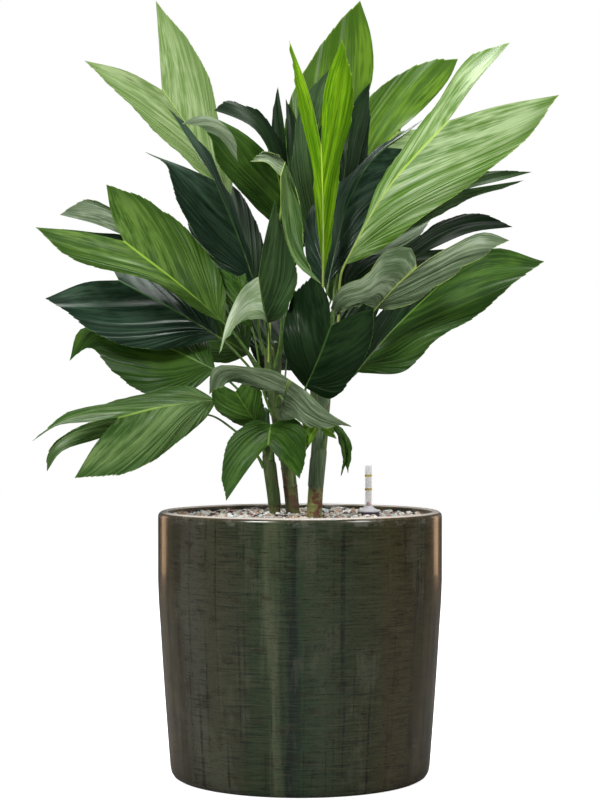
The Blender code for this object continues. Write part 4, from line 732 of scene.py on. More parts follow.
    Frond("frond_back_centre", "stem_back_left", 39.6, (-15.0, -20.0, -26.0, -26.0), (0.8, 0.8),
          [(-1.6, 45.6), (-1.4, 48.4), (-1.2, 51.4)],
          ([(-4.2, 45.8), (-5.9, 48.6), (-5.6, 52.4), (-4.0, 55.0)],
           [(1.2, 45.8), (3.0, 48.6), (3.2, 52.4), (2.2, 55.4)]), teeth=5, colour=DARK),
]
fronds = [thing for thing in LAYERS if isinstance(thing, Frond)]
canes = {cane.name: cane for cane in CANES}
print("canes:", len(canes), "fronds:", len(fronds))

# %% [markdown]
# ## Smooth curves
#
# A few helpers read smooth curves through the listed points. The cubic through each pair of neighbours keeps the
# outline close to the points that were read from the plant.

# %% Smooth curves
def curve_through(points, places):
    """Read a smooth curve through the points at shares of its length."""
    points = np.array(points, float)
    spans = np.linalg.norm(np.diff(points, axis=0), axis=1)
    knots = np.concatenate([[0.0], np.cumsum(spans)]) / spans.sum()
    slopes = np.gradient(points, knots, axis=0)
    places = np.clip(np.asarray(places, float), 0.0, 1.0)
    first = np.clip(np.searchsorted(knots, places, "right") - 1, 0, len(knots) - 2)
    width = knots[first + 1] - knots[first]
    s = ((places - knots[first]) / width)[:, None]
    width = width[:, None]
    return ((2 * s**3 - 3 * s**2 + 1) * points[first] + (s**3 - 2 * s**2 + s) * width * slopes[first]
            + (3 * s**2 - 2 * s**3) * points[first + 1] + (s**3 - s**2) * width * slopes[first + 1])


def unit(vectors):
    """Scale vectors to a length of one."""
    vectors = np.asarray(vectors, float)
    return vectors / np.maximum(np.linalg.norm(vectors, axis=-1, keepdims=True), 1e-9)


def cane_at(cane, height):
    """Give the middle and the radius of a cane at a height."""
    path = np.array(cane.path)
    line = curve_through(path[:, [0, 2, 1]], np.linspace(0.0, 1.0, 60))
    middle = np.array([np.interp(height, line[:, 2], line[:, k]) for k in range(3)])
    share = (height - SOIL_TOP) / (path[-1, 1] - SOIL_TOP)
    return middle, np.interp(share, [0.0, 1.0], [cane.foot, cane.top])


def bezier_at(points, t):
    """Read a cubic Bezier curve at each t."""
    t = np.asarray(t, float)[:, None]
    a, b, c, d = points
    return (1 - t)**3 * a + 3 * (1 - t)**2 * t * b + 3 * (1 - t) * t**2 * c + t**3 * d


print("curve helpers ready")

# %% [markdown]
# ## The flat layout of a blade
#
# One half of a blade is a sheet between the rachis and its toothed edge. Rows run outward, as the veins do, and the
# last row ends at the tip. That is what makes the leaf bifid: past the notch each half goes on alone.

# %% The flat layout of a blade
def half_blade(frond, side, along, out):
    """Lay out one half of a blade as (across, forward, up) for each place along it and out from the rib."""
    tip = frond.edges[side][-1]
    rib = curve_through(frond.rib, along)
    edge = curve_through([frond.rib[0], *frond.edges[side]], along)
    inner = curve_through([frond.rib[-1], *frond.inners[side], tip], out)
    straight = np.array(frond.rib[-1]) + np.outer(out, np.subtract(tip, frond.rib[-1]))
    u = along[:, None]
    v = out[None, :]
    seen = rib[:, None] + (edge - rib)[:, None] * v[..., None] + (u**3)[..., None] * (inner - straight)[None]
    base, notch = frond.depths[:2]
    end = frond.depths[2 + side]
    rib_depth = base + (notch - base) * u
    edge_depth = base + (end - base) * u**1.3 + frond.lifts[side] * np.sin(np.pi * u)
    crown = (1.0 if frond.shows == "upper" else -1.0) * CROWN * np.sin(np.pi * u) * v * (1 - v)
    depth = rib_depth + (edge_depth - rib_depth) * v + crown
    return np.stack([seen[..., 0], depth, seen[..., 1]], axis=-1)


def blade_grid(frond):
    """Lay out both halves from the first toothed edge over the rib to the second one."""
    rows = 2 * frond.teeth
    along = np.linspace(0.0, 1.0, rows + 1)[1:]
    out = np.array([0.0, 0.55, 1.0])
    first = half_blade(frond, 0, along, out)
    second = half_blade(frond, 1, along, out)
    for half in (first, second):
        inward = half[:, 1] - half[:, 2]
        length = np.linalg.norm(inward, axis=-1, keepdims=True)
        cut = np.where(np.arange(rows) % 2 == 0, TOOTH, 0.0)[:, None]
        half[:, 2] += inward * np.minimum(cut / np.maximum(length, 1e-6), 0.3)
    return np.concatenate([first[:, :0:-1], second], axis=1)


print("layout helpers ready")

# %% [markdown]
# ## Sheaths and petioles
#
# A frond leaves its cane from a sheath. The sheaths round one cane are turned apart, and each petiole is a smooth
# curve from its sheath up to its blade.

# %% Sheaths and petioles
def share_out_bearings(fronds, canes):
    """Turn each sheath round its cane towards its blade, and apart from the sheaths near it."""
    apart = 2 * SHEATH_SPAN + SHEATHS_APART
    for cane in canes.values():
        group = [frond for frond in fronds if frond.cane == cane.name]
        for frond in group:
            middle, _ = cane_at(cane, frond.height)
            frond.bearing = math.atan2(frond.rib[0][0] - middle[0], frond.depths[0] - middle[1])
        for _ in range(SHEATH_ROUNDS):
            for k, one in enumerate(group):
                for other in group[k + 1:]:
                    turn = math.remainder(other.bearing - one.bearing, math.tau)
                    near = abs(other.height - one.height) < 2 * SHEATH_LENGTH + 0.3
                    if near and abs(turn) < apart:
                        push = 0.5 * (apart - abs(turn)) * (1 if turn >= 0 else -1)
                        one.bearing -= 0.5 * push
                        other.bearing += 0.5 * push


def lay_out(frond, canes):
    """Give a frond its middle surface: two sheath rows, the petiole's rows, then the blade's."""
    cane = canes[frond.cane]
    blade = blade_grid(frond)
    base = np.array([frond.rib[0][0], frond.depths[0], frond.rib[0][1]])
    outward = np.array([math.sin(frond.bearing), math.cos(frond.bearing), 0.0])
    around = np.array([math.cos(frond.bearing), -math.sin(frond.bearing), 0.0])
    across = unit(blade[0, 3] - blade[0, 1])
    turn = 1.0 if np.dot(around, across) >= 0 else -1.0
    rows = []
    for drop in (SHEATH_LENGTH, 0.0):
        middle, radius = cane_at(cane, frond.height - drop)
        ring = radius + SCAR + GAP + SHEATH_THICK / 2
        angles = frond.bearing + turn * BAR_ACROSS * SHEATH_SPAN
        rows.append(middle + ring * np.stack([np.sin(angles), np.cos(angles), 0 * angles], axis=-1))
    foot = middle + outward * ring
    reach = np.linalg.norm(base - foot)
    leaving = unit(np.array([0.0, 0.0, 1.0]) + LEAN * outward)
    arriving = 0.5 * unit(blade[1, 2] - base) + 0.5 * unit(base - foot)
    bezier = [foot, foot + 0.35 * reach * leaving, base - 0.3 * reach * arriving, base]
    for stop, place in zip(PETIOLE_STOPS, bezier_at(bezier, PETIOLE_STOPS)):
        level = unit(turn * around * (1 - stop) + across * stop)
        rows.append(place + np.outer(BAR_ACROSS * PETIOLE_WIDE, level))
    frond.grid = np.concatenate([np.array(rows), blade], axis=0)


def push_apart(spots, owner, far):
    """Push points of different petioles level and apart where they are too near."""
    away = spots[:, None] - spots[None]
    distance = np.linalg.norm(away, axis=-1)
    one, other = np.nonzero((distance < far) & (owner[:, None] != owner[None]))
    gap = distance[one, other][:, None]
    push = np.zeros_like(spots)
    np.add.at(push, one, 0.25 * away[one, other] * LEVEL * (far - gap) / np.maximum(gap, SHORT))
    return push


def push_off(spots, posts, need):
    """Push points level and away from the canes' middles where they are nearer than they need to be."""
    away = spots[:, None] - posts[None]
    distance = np.linalg.norm(away, axis=-1)
    one, other = np.nonzero(distance < need)
    gap = distance[one, other][:, None]
    short = need[one, other][:, None] - gap
    push = np.zeros_like(spots)
    np.add.at(push, one, 0.3 * away[one, other] * LEVEL * short / np.maximum(gap, SHORT))
    return push


def part_petioles(fronds, canes):
    """Push petioles clear of each other and of the canes, level by level, with their ends held."""
    held = 2
    last = held + len(PETIOLE_STOPS)
    middles = np.array([frond.grid[:last + 1, 2] for frond in fronds])
    starts = middles.copy()
    places = np.linspace(0.0, last, 4 * last + 1)
    first = np.minimum(places.astype(int), last - 1)
    blend = np.zeros((len(places), last + 1))
    blend[np.arange(len(places)), first] = 1 - (places - first)
    blend[np.arange(len(places)), first + 1] = places - first
    free = np.array([0.0] * held + [1.0] * (last - held) + [0.0])
    posts = [(cane.name, *cane_at(cane, height)) for cane in canes.values()
             for height in np.arange(SOIL_TOP, cane.path[-1][1], 0.4)]
    post_places = np.array([post[1] for post in posts])
    owner = np.repeat(np.arange(len(fronds)), len(places))
    own = np.array([[post[0] == frond.cane for post in posts] for frond in fronds])[owner]
    share = np.tile(places / last, len(fronds))[:, None]
    leaving = SHEATH_THICK / 2 + SCAR + 0.8 * np.clip(share - 0.3, 0.0, 0.3)
    need = np.array([post[2] for post in posts]) + np.where(own, leaving, PETIOLE_WIDE + CANE_GAP)
    for _ in range(PETIOLE_ROUNDS):
        spots = np.einsum("sk,fkd->fsd", blend, middles).reshape(-1, 3)
        push = push_apart(spots, owner, 2 * PETIOLE_WIDE + PETIOLE_GAP) + push_off(spots, post_places, need)
        moves = np.einsum("sk,fsd->fkd", blend, push.reshape(len(fronds), -1, 3))
        middles += 3.0 * moves / blend.sum(axis=0)[None, :, None] * free[None, :, None]
    for frond, middle, begun in zip(fronds, middles, starts):
        frond.grid[:last + 1] += (middle - begun)[:, None]


print("petiole helpers ready")

# %% [markdown]
# ## Sorting the leaves in depth
#
# The table says what is seen, so leaves laid out by it alone would run through each other. A sheet that is in front
# of another has to be nearer at every place where both are seen. All such meetings are found once, in the picture's
# plane. Then the depths are relaxed in rounds until each pair is clear, and each push is smoothed over its sheet so
# that the leaves bend softly.

# %% Helpers for the sorting
def cane_strip(cane):
    """Give a cane as a flat strip of its own width, for sorting the layers."""
    heights = np.linspace(SOIL_TOP, cane.path[-1][1], 14)
    rows = []
    for height in heights:
        middle, radius = cane_at(cane, height)
        rows.append(middle + np.outer([-1.0, -0.5, 0.0, 0.5, 1.0], [radius, 0.0, 0.0]))
    return np.array(rows)


def samples_of(grid, start):
    """List points on a grid as four of its corners and their weights."""
    rows, columns = grid.shape[:2]
    corners = []
    weights = []
    for i in range(rows - 1):
        for j in range(columns - 1):
            four = [start + i * columns + j, start + i * columns + j + 1,
                    start + (i + 1) * columns + j, start + (i + 1) * columns + j + 1]
            for s in (0.0, 0.5):
                for t in (0.0, 0.5):
                    corners.append(four)
                    weights.append([(1 - s) * (1 - t), (1 - s) * t, s * (1 - t), s * t])
    for j in range(columns):
        last = start + (rows - 1) * columns + j
        corners.append([last] * 4)
        weights.append([1.0, 0.0, 0.0, 0.0])
    return np.array(corners), np.array(weights)


def triangles_of(grid, start):
    """List a grid's triangles as corner numbers."""
    rows, columns = grid.shape[:2]
    faces = []
    for i in range(rows - 1):
        for j in range(columns - 1):
            a = start + i * columns + j
            faces += [[a, a + 1, a + columns + 1], [a, a + columns + 1, a + columns]]
    return np.array(faces)


def meetings(points, front, back):
    """Find where samples of one grid are seen in front of or behind triangles of another."""
    spots = np.einsum("nk,nkd->nd", front[1], points[front[0]][..., [0, 2]])
    corners = points[back][..., [0, 2]]
    a, b, c = corners[:, 0], corners[:, 1], corners[:, 2]
    area = (b[:, 0] - a[:, 0]) * (c[:, 1] - a[:, 1]) - (b[:, 1] - a[:, 1]) * (c[:, 0] - a[:, 0])
    area = np.where(np.abs(area) < 1e-9, 1e-9, area)
    away = spots[:, None] - a[None]
    second = (away[..., 0] * (c - a)[:, 1] - away[..., 1] * (c - a)[:, 0]) / area
    third = ((b - a)[:, 0] * away[..., 1] - (b - a)[:, 1] * away[..., 0]) / area
    spot, face = np.nonzero((second >= 0) & (third >= 0) & (second + third <= 1))
    shares = np.stack([1 - second - third, second, third], axis=-1)[spot, face]
    return spot, face, shares


print("meeting finders ready")

# %% Layers and their meetings
@dataclass
class Layer:
    """One sheet to sort: its grid, half thickness, freedom of each row to move, and count of slim rows."""
    grid: np.ndarray
    thick: np.ndarray
    free: np.ndarray
    slim: int


def layer_of(thing, canes):
    """Give a frond or a cane as a sheet to sort, with its thickness and the freedom of its rows."""
    if isinstance(thing, Frond):
        stops = len(PETIOLE_STOPS)
        rows = len(thing.grid)
        thick = np.concatenate([[0.1] * 2, [0.18] * stops, [0.06] * (rows - 2 - stops)])
        free = np.concatenate([[0.0, 0.0, 0.15, 0.5, 0.8], [1.0] * (rows - 5)])
        return Layer(thing.grid, thick, free, 2 + stops)
    strip = cane_strip(canes[thing])
    thick = np.array([cane_at(canes[thing], height)[1] for height in strip[:, 2, 2]])
    return Layer(strip, thick, np.zeros(len(strip)), len(strip))


def per_point(layers, values):
    """Repeat each layer's value a row over the points of its grid."""
    return np.concatenate([np.repeat(value, layer.grid.shape[1]) for layer, value in zip(layers, values)])


def all_meetings(layers, starts, points):
    """Gather where two layers are seen one before the other, as point numbers and signed weights."""
    samples = [samples_of(layer.grid, start) for layer, start in zip(layers, starts)]
    faces = [triangles_of(layer.grid, start) for layer, start in zip(layers, starts)]
    slim = per_point(layers, [np.arange(len(layer.grid)) < layer.slim for layer in layers])
    index = []
    weight = []
    for front in range(len(layers)):
        for back in range(front + 1, len(layers)):
            for one, other, sign in ((front, back, 1.0), (back, front, -1.0)):
                spot, face, shares = meetings(points, samples[one], faces[other])
                corners = samples[one][0][spot]
                behind = faces[other][face]
                broad = ~(slim[corners].all(axis=1) & slim[behind].all(axis=1))
                index.append(np.concatenate([corners, behind], axis=1)[broad])
                weight.append(sign * np.concatenate([samples[one][1][spot], -shares], axis=1)[broad])
    return np.concatenate(index), np.concatenate(weight)


print("layer helpers ready")

# %% Relax the depths
def softened(moved, layers, starts, passes):
    """Smooth the moves over each sheet, and hold the rows that aren't free."""
    for layer, start in zip(layers, starts):
        rows, columns = layer.grid.shape[:2]
        sheet = moved[start:start + rows * columns].reshape(rows, columns)
        for _ in range(passes):
            padded = np.pad(sheet, 1, mode="edge")
            around = (padded[:-2, 1:-1] + padded[2:, 1:-1] + padded[1:-1, :-2] + padded[1:-1, 2:]) / 4
            sheet = 0.5 * sheet + 0.5 * around
        moved[start:start + rows * columns] = (sheet * layer.free[:, None]).reshape(-1)
    return moved


def sorted_depths(layers):
    """Slide the layers along the line of sight until each is clear of those behind it."""
    starts = np.cumsum([0] + [layer.grid.shape[0] * layer.grid.shape[1] for layer in layers])
    points = np.concatenate([layer.grid.reshape(-1, 3) for layer in layers])
    thick = per_point(layers, [layer.thick for layer in layers])
    free = per_point(layers, [layer.free for layer in layers])
    index, weight = all_meetings(layers, starts, points)
    need = CLEAR + np.einsum("nk,nk->n", np.abs(weight), thick[index])
    give = (weight**2 * free[index]).sum(axis=1)
    movable = give > 0.05
    index, weight, need, give = index[movable], weight[movable], need[movable], give[movable]
    depth = points[:, 1].copy()
    for turn in range(ROUNDS):
        short = need - np.einsum("nk,nk->n", weight, depth[index])
        push = np.maximum(short, 0.0)[:, None] * weight * free[index] / give[:, None]
        total = np.zeros_like(depth)
        count = np.full_like(depth, 1e-6)
        np.add.at(total, index, push * np.abs(weight))
        np.add.at(count, index, np.abs(weight) * (np.abs(push) > 0))
        depth += 0.9 * softened(total / count, layers, starts, 3 if turn < ROUNDS * 0.7 else 1)
    return [depth[start:start + layer.grid.shape[0] * layer.grid.shape[1]].reshape(layer.grid.shape[:2])
            for layer, start in zip(layers, starts)]


def sorted_fronds(canes):
    """Lay out the fronds and sort them, so that none runs through another."""
    fronds = [thing for thing in LAYERS if isinstance(thing, Frond)]
    share_out_bearings(fronds, canes)
    for frond in fronds:
        lay_out(frond, canes)
    depths = sorted_depths([layer_of(thing, canes) for thing in LAYERS])
    for thing, depth in zip(LAYERS, depths):
        if isinstance(thing, Frond):
            thing.grid[..., 1] = depth
    part_petioles(fronds, canes)
    return fronds


fronds = sorted_fronds(canes)
print("leaves sorted:", len(fronds))

# %% [markdown]
# ## From coarse sheets to fine ones
#
# The sorting works on few rows and columns. A fine blade is the same surface read at many more places, and takes its
# depth from the coarse one: a cubic along the blade and a parabola outward. Its rows follow the veins. A vein leaves
# the rachis and reaches the edge much nearer the tip, so one row holds a small share of the rachis and a large share
# of the edge.

# %% From coarse sheets to fine ones
BLADE_FIRST = 2 + len(PETIOLE_STOPS)
OUT_STOPS = np.array([0.0, 0.03, 0.08, 0.16, 0.25, 0.35, 0.45, 0.55, 0.65, 0.74, 0.82, 0.89, 0.95, 1.0])
BOTH_SIDES = np.concatenate([-OUT_STOPS[:0:-1], OUT_STOPS])
FIRST_VEIN = 0.01


def vein_places(veins):
    """Give the share of the blade's length where each vein passes each stop outward from the rachis."""
    at_rib = (0.03 * veins + 0.97 * veins**6)[:, None]
    at_edge = (veins**0.8)[:, None]
    return at_rib + (at_edge - at_rib) * OUT_STOPS[None]


def smooth_read(values, knots, places):
    """Read a row of values at other places by a cubic with even slopes."""
    slopes = np.gradient(values, knots)
    first = np.clip(np.searchsorted(knots, places, "right") - 1, 0, len(knots) - 2)
    width = knots[first + 1] - knots[first]
    s = (places - knots[first]) / width
    return ((2 * s**3 - 3 * s**2 + 1) * values[first] + (s**3 - 2 * s**2 + s) * width * slopes[first]
            + (3 * s**2 - 2 * s**3) * values[first + 1] + (s**3 - s**2) * width * slopes[first + 1])


def fine_half(frond, side, places):
    """Lay out one half of a blade at 2-D places, as the coarse half is laid out."""
    shape = places.shape + (2,)
    rib = curve_through(frond.rib, places.ravel()).reshape(shape)
    edge = curve_through([frond.rib[0], *frond.edges[side]], places.ravel()).reshape(shape)
    tip = frond.edges[side][-1]
    inner = curve_through([frond.rib[-1], *frond.inners[side], tip], OUT_STOPS)
    straight = np.array(frond.rib[-1]) + np.outer(OUT_STOPS, np.subtract(tip, frond.rib[-1]))
    u, v = places, OUT_STOPS[None]
    seen = rib + (edge - rib) * v[..., None] + (u**3)[..., None] * (inner - straight)[None]
    base, notch = frond.depths[:2]
    rib_depth = base + (notch - base) * u
    edge_depth = base + (frond.depths[2 + side] - base) * u**1.3 + frond.lifts[side] * np.sin(np.pi * u)
    crown = (1.0 if frond.shows == "upper" else -1.0) * CROWN * np.sin(np.pi * u) * v * (1 - v)
    depth = rib_depth + (edge_depth - rib_depth) * v + crown
    return np.stack([seen[..., 0], depth, seen[..., 1]], axis=-1)


def fine_blade(frond, veins):
    """Lay out both halves finely, from edge to edge over the rachis, with the sorted depths."""
    shift = frond.grid[BLADE_FIRST:, :, 1] - blade_grid(frond)[..., 1]
    shift = np.concatenate([np.repeat(shift[:1, 2:3], 5, axis=1), shift])
    knots = np.linspace(0.0, 1.0, len(shift))
    places = vein_places(veins)
    v = OUT_STOPS
    shares = ((v - 0.55) * (v - 1) / 0.55, v * (1 - v) / 0.2475, v * (v - 0.55) / 0.45)
    halves = []
    for side, columns in ((0, (2, 1, 0)), (1, (2, 3, 4))):
        half = fine_half(frond, side, places)
        for column, share in zip(columns, shares):
            half[..., 1] += share * smooth_read(shift[:, column], knots, places)
        halves.append(half)
    return np.concatenate([halves[0][:, :0:-1], halves[1]], axis=1)


print("columns in a fine blade:", len(BOTH_SIDES))

# %% [markdown]
# ## Teeth and pleats
#
# The margin of this palm is cut into small uneven teeth that lean towards the tip, but not near the base. The blade
# is folded along its veins like a fan that was never quite opened, so light falls on it in long streaks, and it
# billows a little besides. All of it is added to the fine sheet. The teeth draw the outer columns in, and the folds
# and billows push the sheet along its own normal.

# %% Teeth
def facing_of(grid):
    """Give the direction that each half of a blade faces, joined over the rachis."""
    world = np.array([1.0, -1.0, 1.0])
    along = np.gradient(grid, axis=0) * world
    middle = grid.shape[1] // 2
    first = unit(np.cross(np.gradient(grid[:, :middle + 1], axis=1) * world, along[:, :middle + 1]))
    second = unit(np.cross(np.gradient(grid[:, middle:], axis=1) * world, along[:, middle:]))
    rib = unit(first[:, -1:] + second[:, :1])
    return np.concatenate([first[:, :-1], rib, second[:, 1:]], axis=1) * world


RIPPLE_DEEP = 0.05


def tooth_line(veins, teeth, draw):
    """Give how deep the edge is cut at each vein: a saw line of uneven teeth."""
    ends = np.cumsum(draw.uniform(0.6, 1.4, teeth))
    ends = 0.22 + 0.78 * ends / ends[-1]
    starts = np.concatenate([[0.22], ends[:-1]])
    sizes = draw.uniform(0.09, 0.34, teeth) * np.linspace(0.7, 1.2, teeth)
    number = np.clip(np.searchsorted(ends, veins), 0, teeth - 1)
    share = np.clip((veins - starts[number]) / (ends[number] - starts[number]), 0.0, 1.0)
    return np.where(veins > 0.22, sizes[number] * (1 - share), 0.0) * np.clip((1.0 - veins) * 12, 0.0, 1.0)


def ripple(veins, draw):
    """Give a slow uneven wave of the outline."""
    wave = sum(np.sin(2 * math.pi * (turns * veins + draw.uniform(0.0, 1.0))) for turns in (2.7, 4.6, 7.9))
    return RIPPLE_DEEP * (wave - wave.min()) * np.clip(veins * 5, 0.0, 1.0) * np.clip((1.0 - veins) * 8, 0.0, 1.0)


def cut_teeth(grid, veins, teeth, draw):
    """Draw the outer columns in to the saw line and the ripple."""
    for edge, sign in ((0, 1), (-1, -1)):
        inward = grid[:, edge + 3 * sign] - grid[:, edge]
        length = np.maximum(np.linalg.norm(inward, axis=-1), SHORT)
        deep = tooth_line(veins, teeth, draw) + ripple(veins, draw)
        cut = inward * (np.minimum(deep, 0.55 * length) / length)[:, None]
        for step, share in enumerate((1.0, 0.6, 0.25)):
            grid[:, edge + step * sign] += share * cut


print("teeth ready")

# %% Pleats and billows
FOLD_DEEP = 0.045
BILLOW_DEEP = 0.11
FLUTTER_DEEP = 0.15


def fold_line(veins, folds, draw):
    """Give an uneven wave over the veins, about one wide."""
    wave = np.zeros(len(veins))
    for size, share in ((1.0, 1.0), (0.57, 0.7), (1.83, 0.4)):
        wave += share * np.cos(2 * math.pi * (size * folds * veins + draw.uniform(0.0, 1.0)))
    return wave


def billow(u, v, draw):
    """Give broad soft swellings over one half."""
    swell = np.zeros_like(u)
    for along, out in ((1.3, 0.5), (2.2, -0.7), (3.6, 1.1)):
        swell += np.sin(2 * math.pi * (along * u + out * v + draw.uniform(0.0, 1.0))) / along
    return swell


def pleat_blade(grid, veins, frond, draw):
    """Push the sheet in and out along its normal in folds and billows."""
    folds, deep, swelling = FOLDS.get(frond.name, (1.0, 1.0, 1.0))
    u = vein_places(veins)
    v = np.broadcast_to(OUT_STOPS, u.shape)
    calm = np.clip(u / 0.22, 0.0, 1.0) * np.clip(v / 0.12, 0.0, 1.0)
    flutter = FLUTTER_DEEP * swelling * v**3 * np.clip((1.0 - veins) * 6, 0.0, 1.0)[:, None]
    pushes = []
    for _ in range(2):
        fold = fold_line(veins, folds * 2 * frond.teeth, draw)[:, None] * FOLD_DEEP * deep * (1 - 0.35 * v)
        wave = np.sin(2 * math.pi * (draw.uniform(2.0, 4.0) * veins + draw.uniform(0.0, 1.0)))[:, None]
        swell = BILLOW_DEEP * swelling * billow(u, v, draw) * np.clip(v / 0.5, 0.0, 1.0)
        pushes.append((fold + swell + flutter * wave) * calm)
    push = np.concatenate([pushes[0][:, :0:-1], pushes[1]], axis=1)
    return grid + facing_of(grid) * push[..., None]


# For some fronds: how many folds, how deep they are and how much the blade billows, against the others.
FOLDS = {
    "frond_spear": (1.0, 2.2, 0.5), "frond_left_glossy": (0.6, 2.4, 1.3), "frond_right_grey": (1.0, 1.2, 2.2),
    "frond_front_curled": (1.2, 1.0, 1.6), "frond_hanging": (1.2, 1.0, 1.6), "frond_centre_dark": (1.0, 0.7, 0.8),
    "frond_right": (1.0, 1.1, 1.2), "frond_upper_right": (0.8, 1.2, 1.6), "frond_withered": (1.0, 0.6, 0.6),
}
print("pleats ready")

# %% [markdown]
# ## Closed sheets and tapering stalks
#
# A blade is made as a closed sheet, with an upper skin, an under skin and a rim, so that each face can have its own
# finish. A petiole is a tube of many small rings that goes on under the blade as the rachis.

# %% Closed sheets and tapering stalks
def sheet_faces(rows, columns):
    """List the faces of a closed sheet: its front skin, its back skin and its rim."""
    count = rows * columns
    i, j = np.meshgrid(np.arange(rows - 1), np.arange(columns - 1), indexing="ij")
    a = (i * columns + j).ravel()
    front = np.stack([a, a + 1, a + columns + 1, a + columns], axis=1)
    back = front[:, ::-1] + count
    ring = list(range(columns)) + [r * columns + columns - 1 for r in range(1, rows)]
    ring += [(rows - 1) * columns + c for c in range(columns - 2, -1, -1)]
    ring += [r * columns for r in range(rows - 2, 0, -1)]
    ring = np.array(ring)
    after = np.roll(ring, -1)
    rim = np.stack([ring, ring + count, after + count, after], axis=1)
    return front, back, rim


def tube(points, radii, frames, sides=10):
    """Ring a line of points with circles, given two cross directions at each, and close both ends."""
    turn = np.linspace(0.0, 2 * math.pi, sides, endpoint=False)
    ring = np.cos(turn)[None, :, None] * frames[0][:, None] + np.sin(turn)[None, :, None] * frames[1][:, None]
    places = (points[:, None] + radii[:, None, None] * ring).reshape(-1, 3)
    rows = len(points)
    faces = []
    for i in range(rows - 1):
        for j in range(sides):
            k = (j + 1) % sides
            faces.append((i * sides + j, i * sides + k, (i + 1) * sides + k, (i + 1) * sides + j))
    faces.append(tuple(range(sides))[::-1])
    faces.append(tuple((rows - 1) * sides + j for j in range(sides)))
    return places, faces


def line_frames(points):
    """Give two steady cross directions along a line of points."""
    way = unit(np.gradient(points, axis=0))
    side = unit(np.cross(way, [0.31, 0.24, 0.13]))
    return side, np.cross(way, side)


print("sheet and stalk builders ready")

# %% [markdown]
# ## A sheath round the cane
#
# Each petiole opens at its foot into a sheath that wraps the cane. It closes right round below, and opens obliquely
# towards the petiole above. It also widens upward, so that an older, lower sheath lies outside a younger one.

# %% A sheath round the cane
SHEATH_DROP = 4.2
SHEATH_ROWS = 16


def sheath_sheet(frond):
    """Lay out a sheath as rows of points round its cane, from its foot up to the petiole."""
    cane = canes[frond.cane]
    rows = []
    for share in np.linspace(0.0, 1.0, SHEATH_ROWS):
        middle, radius = cane_at(cane, frond.height - SHEATH_DROP * (1 - share))
        half = math.radians(172 - 146 * np.clip((share - 0.35) / 0.65, 0.0, 1.0)**1.4)
        ring = radius + 0.07 + 0.12 * share
        angles = frond.bearing + np.linspace(-half, half, 21)
        rows.append(middle + ring * np.stack([np.sin(angles), np.cos(angles), 0 * angles], axis=-1))
    return np.array(rows)


print("sheath rows:", SHEATH_ROWS)

# %% [markdown]
# ## The fronds
#
# Now the pieces come together. Every frond is one mesh: blade, rachis, petiole and sheath. The table names the tone
# that the eye sees on it, or on each of its halves where a fold or a twist shows two. The far side takes the tone that
# goes with it. Two tips that roll over on the plant take the underside's finish on their front faces.

# %% Tones of the fronds
# These tones hold painted light and shade besides colour: a lit half and a shaded half of one frond get a light and a
# dark tone, and fronds deep in the plant get the dark ones.
FROND_TONES = {
    "frond_front_curled": "under_grey", "frond_front_low": "mid", "frond_low_bright": "mid",
    "frond_low_left": "sage", "frond_folded": ("pale_and_lit_underside", "under_dark"), "frond_hanging": ("sage", "under_grey"),
    "frond_small_bright": "bright", "frond_withered": "under_dark", "frond_centre_dark": "dark",
    "frond_spear": "spear", "frond_arching": ("mid", "dark"), "frond_left": "fresh",
    "frond_right_grey": "under_grey", "frond_right": "waxy", "frond_left_inner": "mid",
    "frond_upper_left": "blue", "frond_left_glossy": "blue", "frond_left_striped": "mid",
    "frond_low_left_pale": "sage", "frond_blue_rib": "blue", "frond_upright": "dark",
    "frond_upright_grey": "under_dark", "frond_centre_back": "dark", "frond_right_dark": "dark",
    "frond_lower_right": ("dark", "mid"), "frond_right_narrow": "under_dark", "frond_upper_right": ("bright", "waxy"),
    "frond_top": "bright", "frond_top_left": "under_pale", "frond_left_pale": ("dark", "under_grey"),
    "frond_back_right": "mid", "frond_back_left": "dark", "frond_back_top": "mid",
    "frond_back_low_left": "mid", "frond_back_low_right": "dark", "frond_back_centre": "dark",
}
FAR_SIDE = {"dark": "under_dark", "blue": "under_dark", "mid": "under_pale", "sage": "under_pale", "fresh": "under_pale", "bright": "under_pale",
            "spear": "spear", "waxy": "under_pale", "pale_and_lit_underside": "mid", "under_pale": "mid", "under_grey": "mid", "under_dark": "mid"}
ROLLED_TIPS = {"frond_arching": (0, 0.80, 0.70), "frond_low_left": (1, 0.95, 0.12)}
PALE_STALKS = {"frond_spear", "frond_right_grey", "frond_hanging", "frond_right"}
print("tones listed:", len(FROND_TONES))

# %% Join the parts of a frond
@dataclass
class Skin:
    """Points, faces, map places and finish numbers that are gathered for one mesh."""
    places: list = field(default_factory=list)
    faces: list = field(default_factory=list)
    charts: list = field(default_factory=list)
    slots: list = field(default_factory=list)
    count: int = 0

    def add(self, places, faces, chart, slots):
        """Add points in metres with their faces, map places and finish numbers."""
        self.places.append(places.reshape(-1, 3))
        self.faces += [tuple(number + self.count for number in face) for face in faces]
        self.charts.append(chart.reshape(-1, 2))
        self.slots += list(slots)
        self.count += len(self.places[-1])


def add_sheet(skin, grid, thick, chart, front_slots, back_slots, rim_slot):
    """Add a closed sheet: two skins on both sides of a grid, and the rim between them."""
    facing = facing_of(grid) * thick
    front, back, rim = sheet_faces(*grid.shape[:2])
    both = np.concatenate([pulled(grid + facing).reshape(-1, 3), pulled(grid - facing).reshape(-1, 3)])
    faces = np.concatenate([front, back, rim]).tolist()
    slots = [*front_slots, *back_slots, *[rim_slot] * len(rim)]
    skin.add(both, faces, np.concatenate([chart.reshape(-1, 2)] * 2), slots)


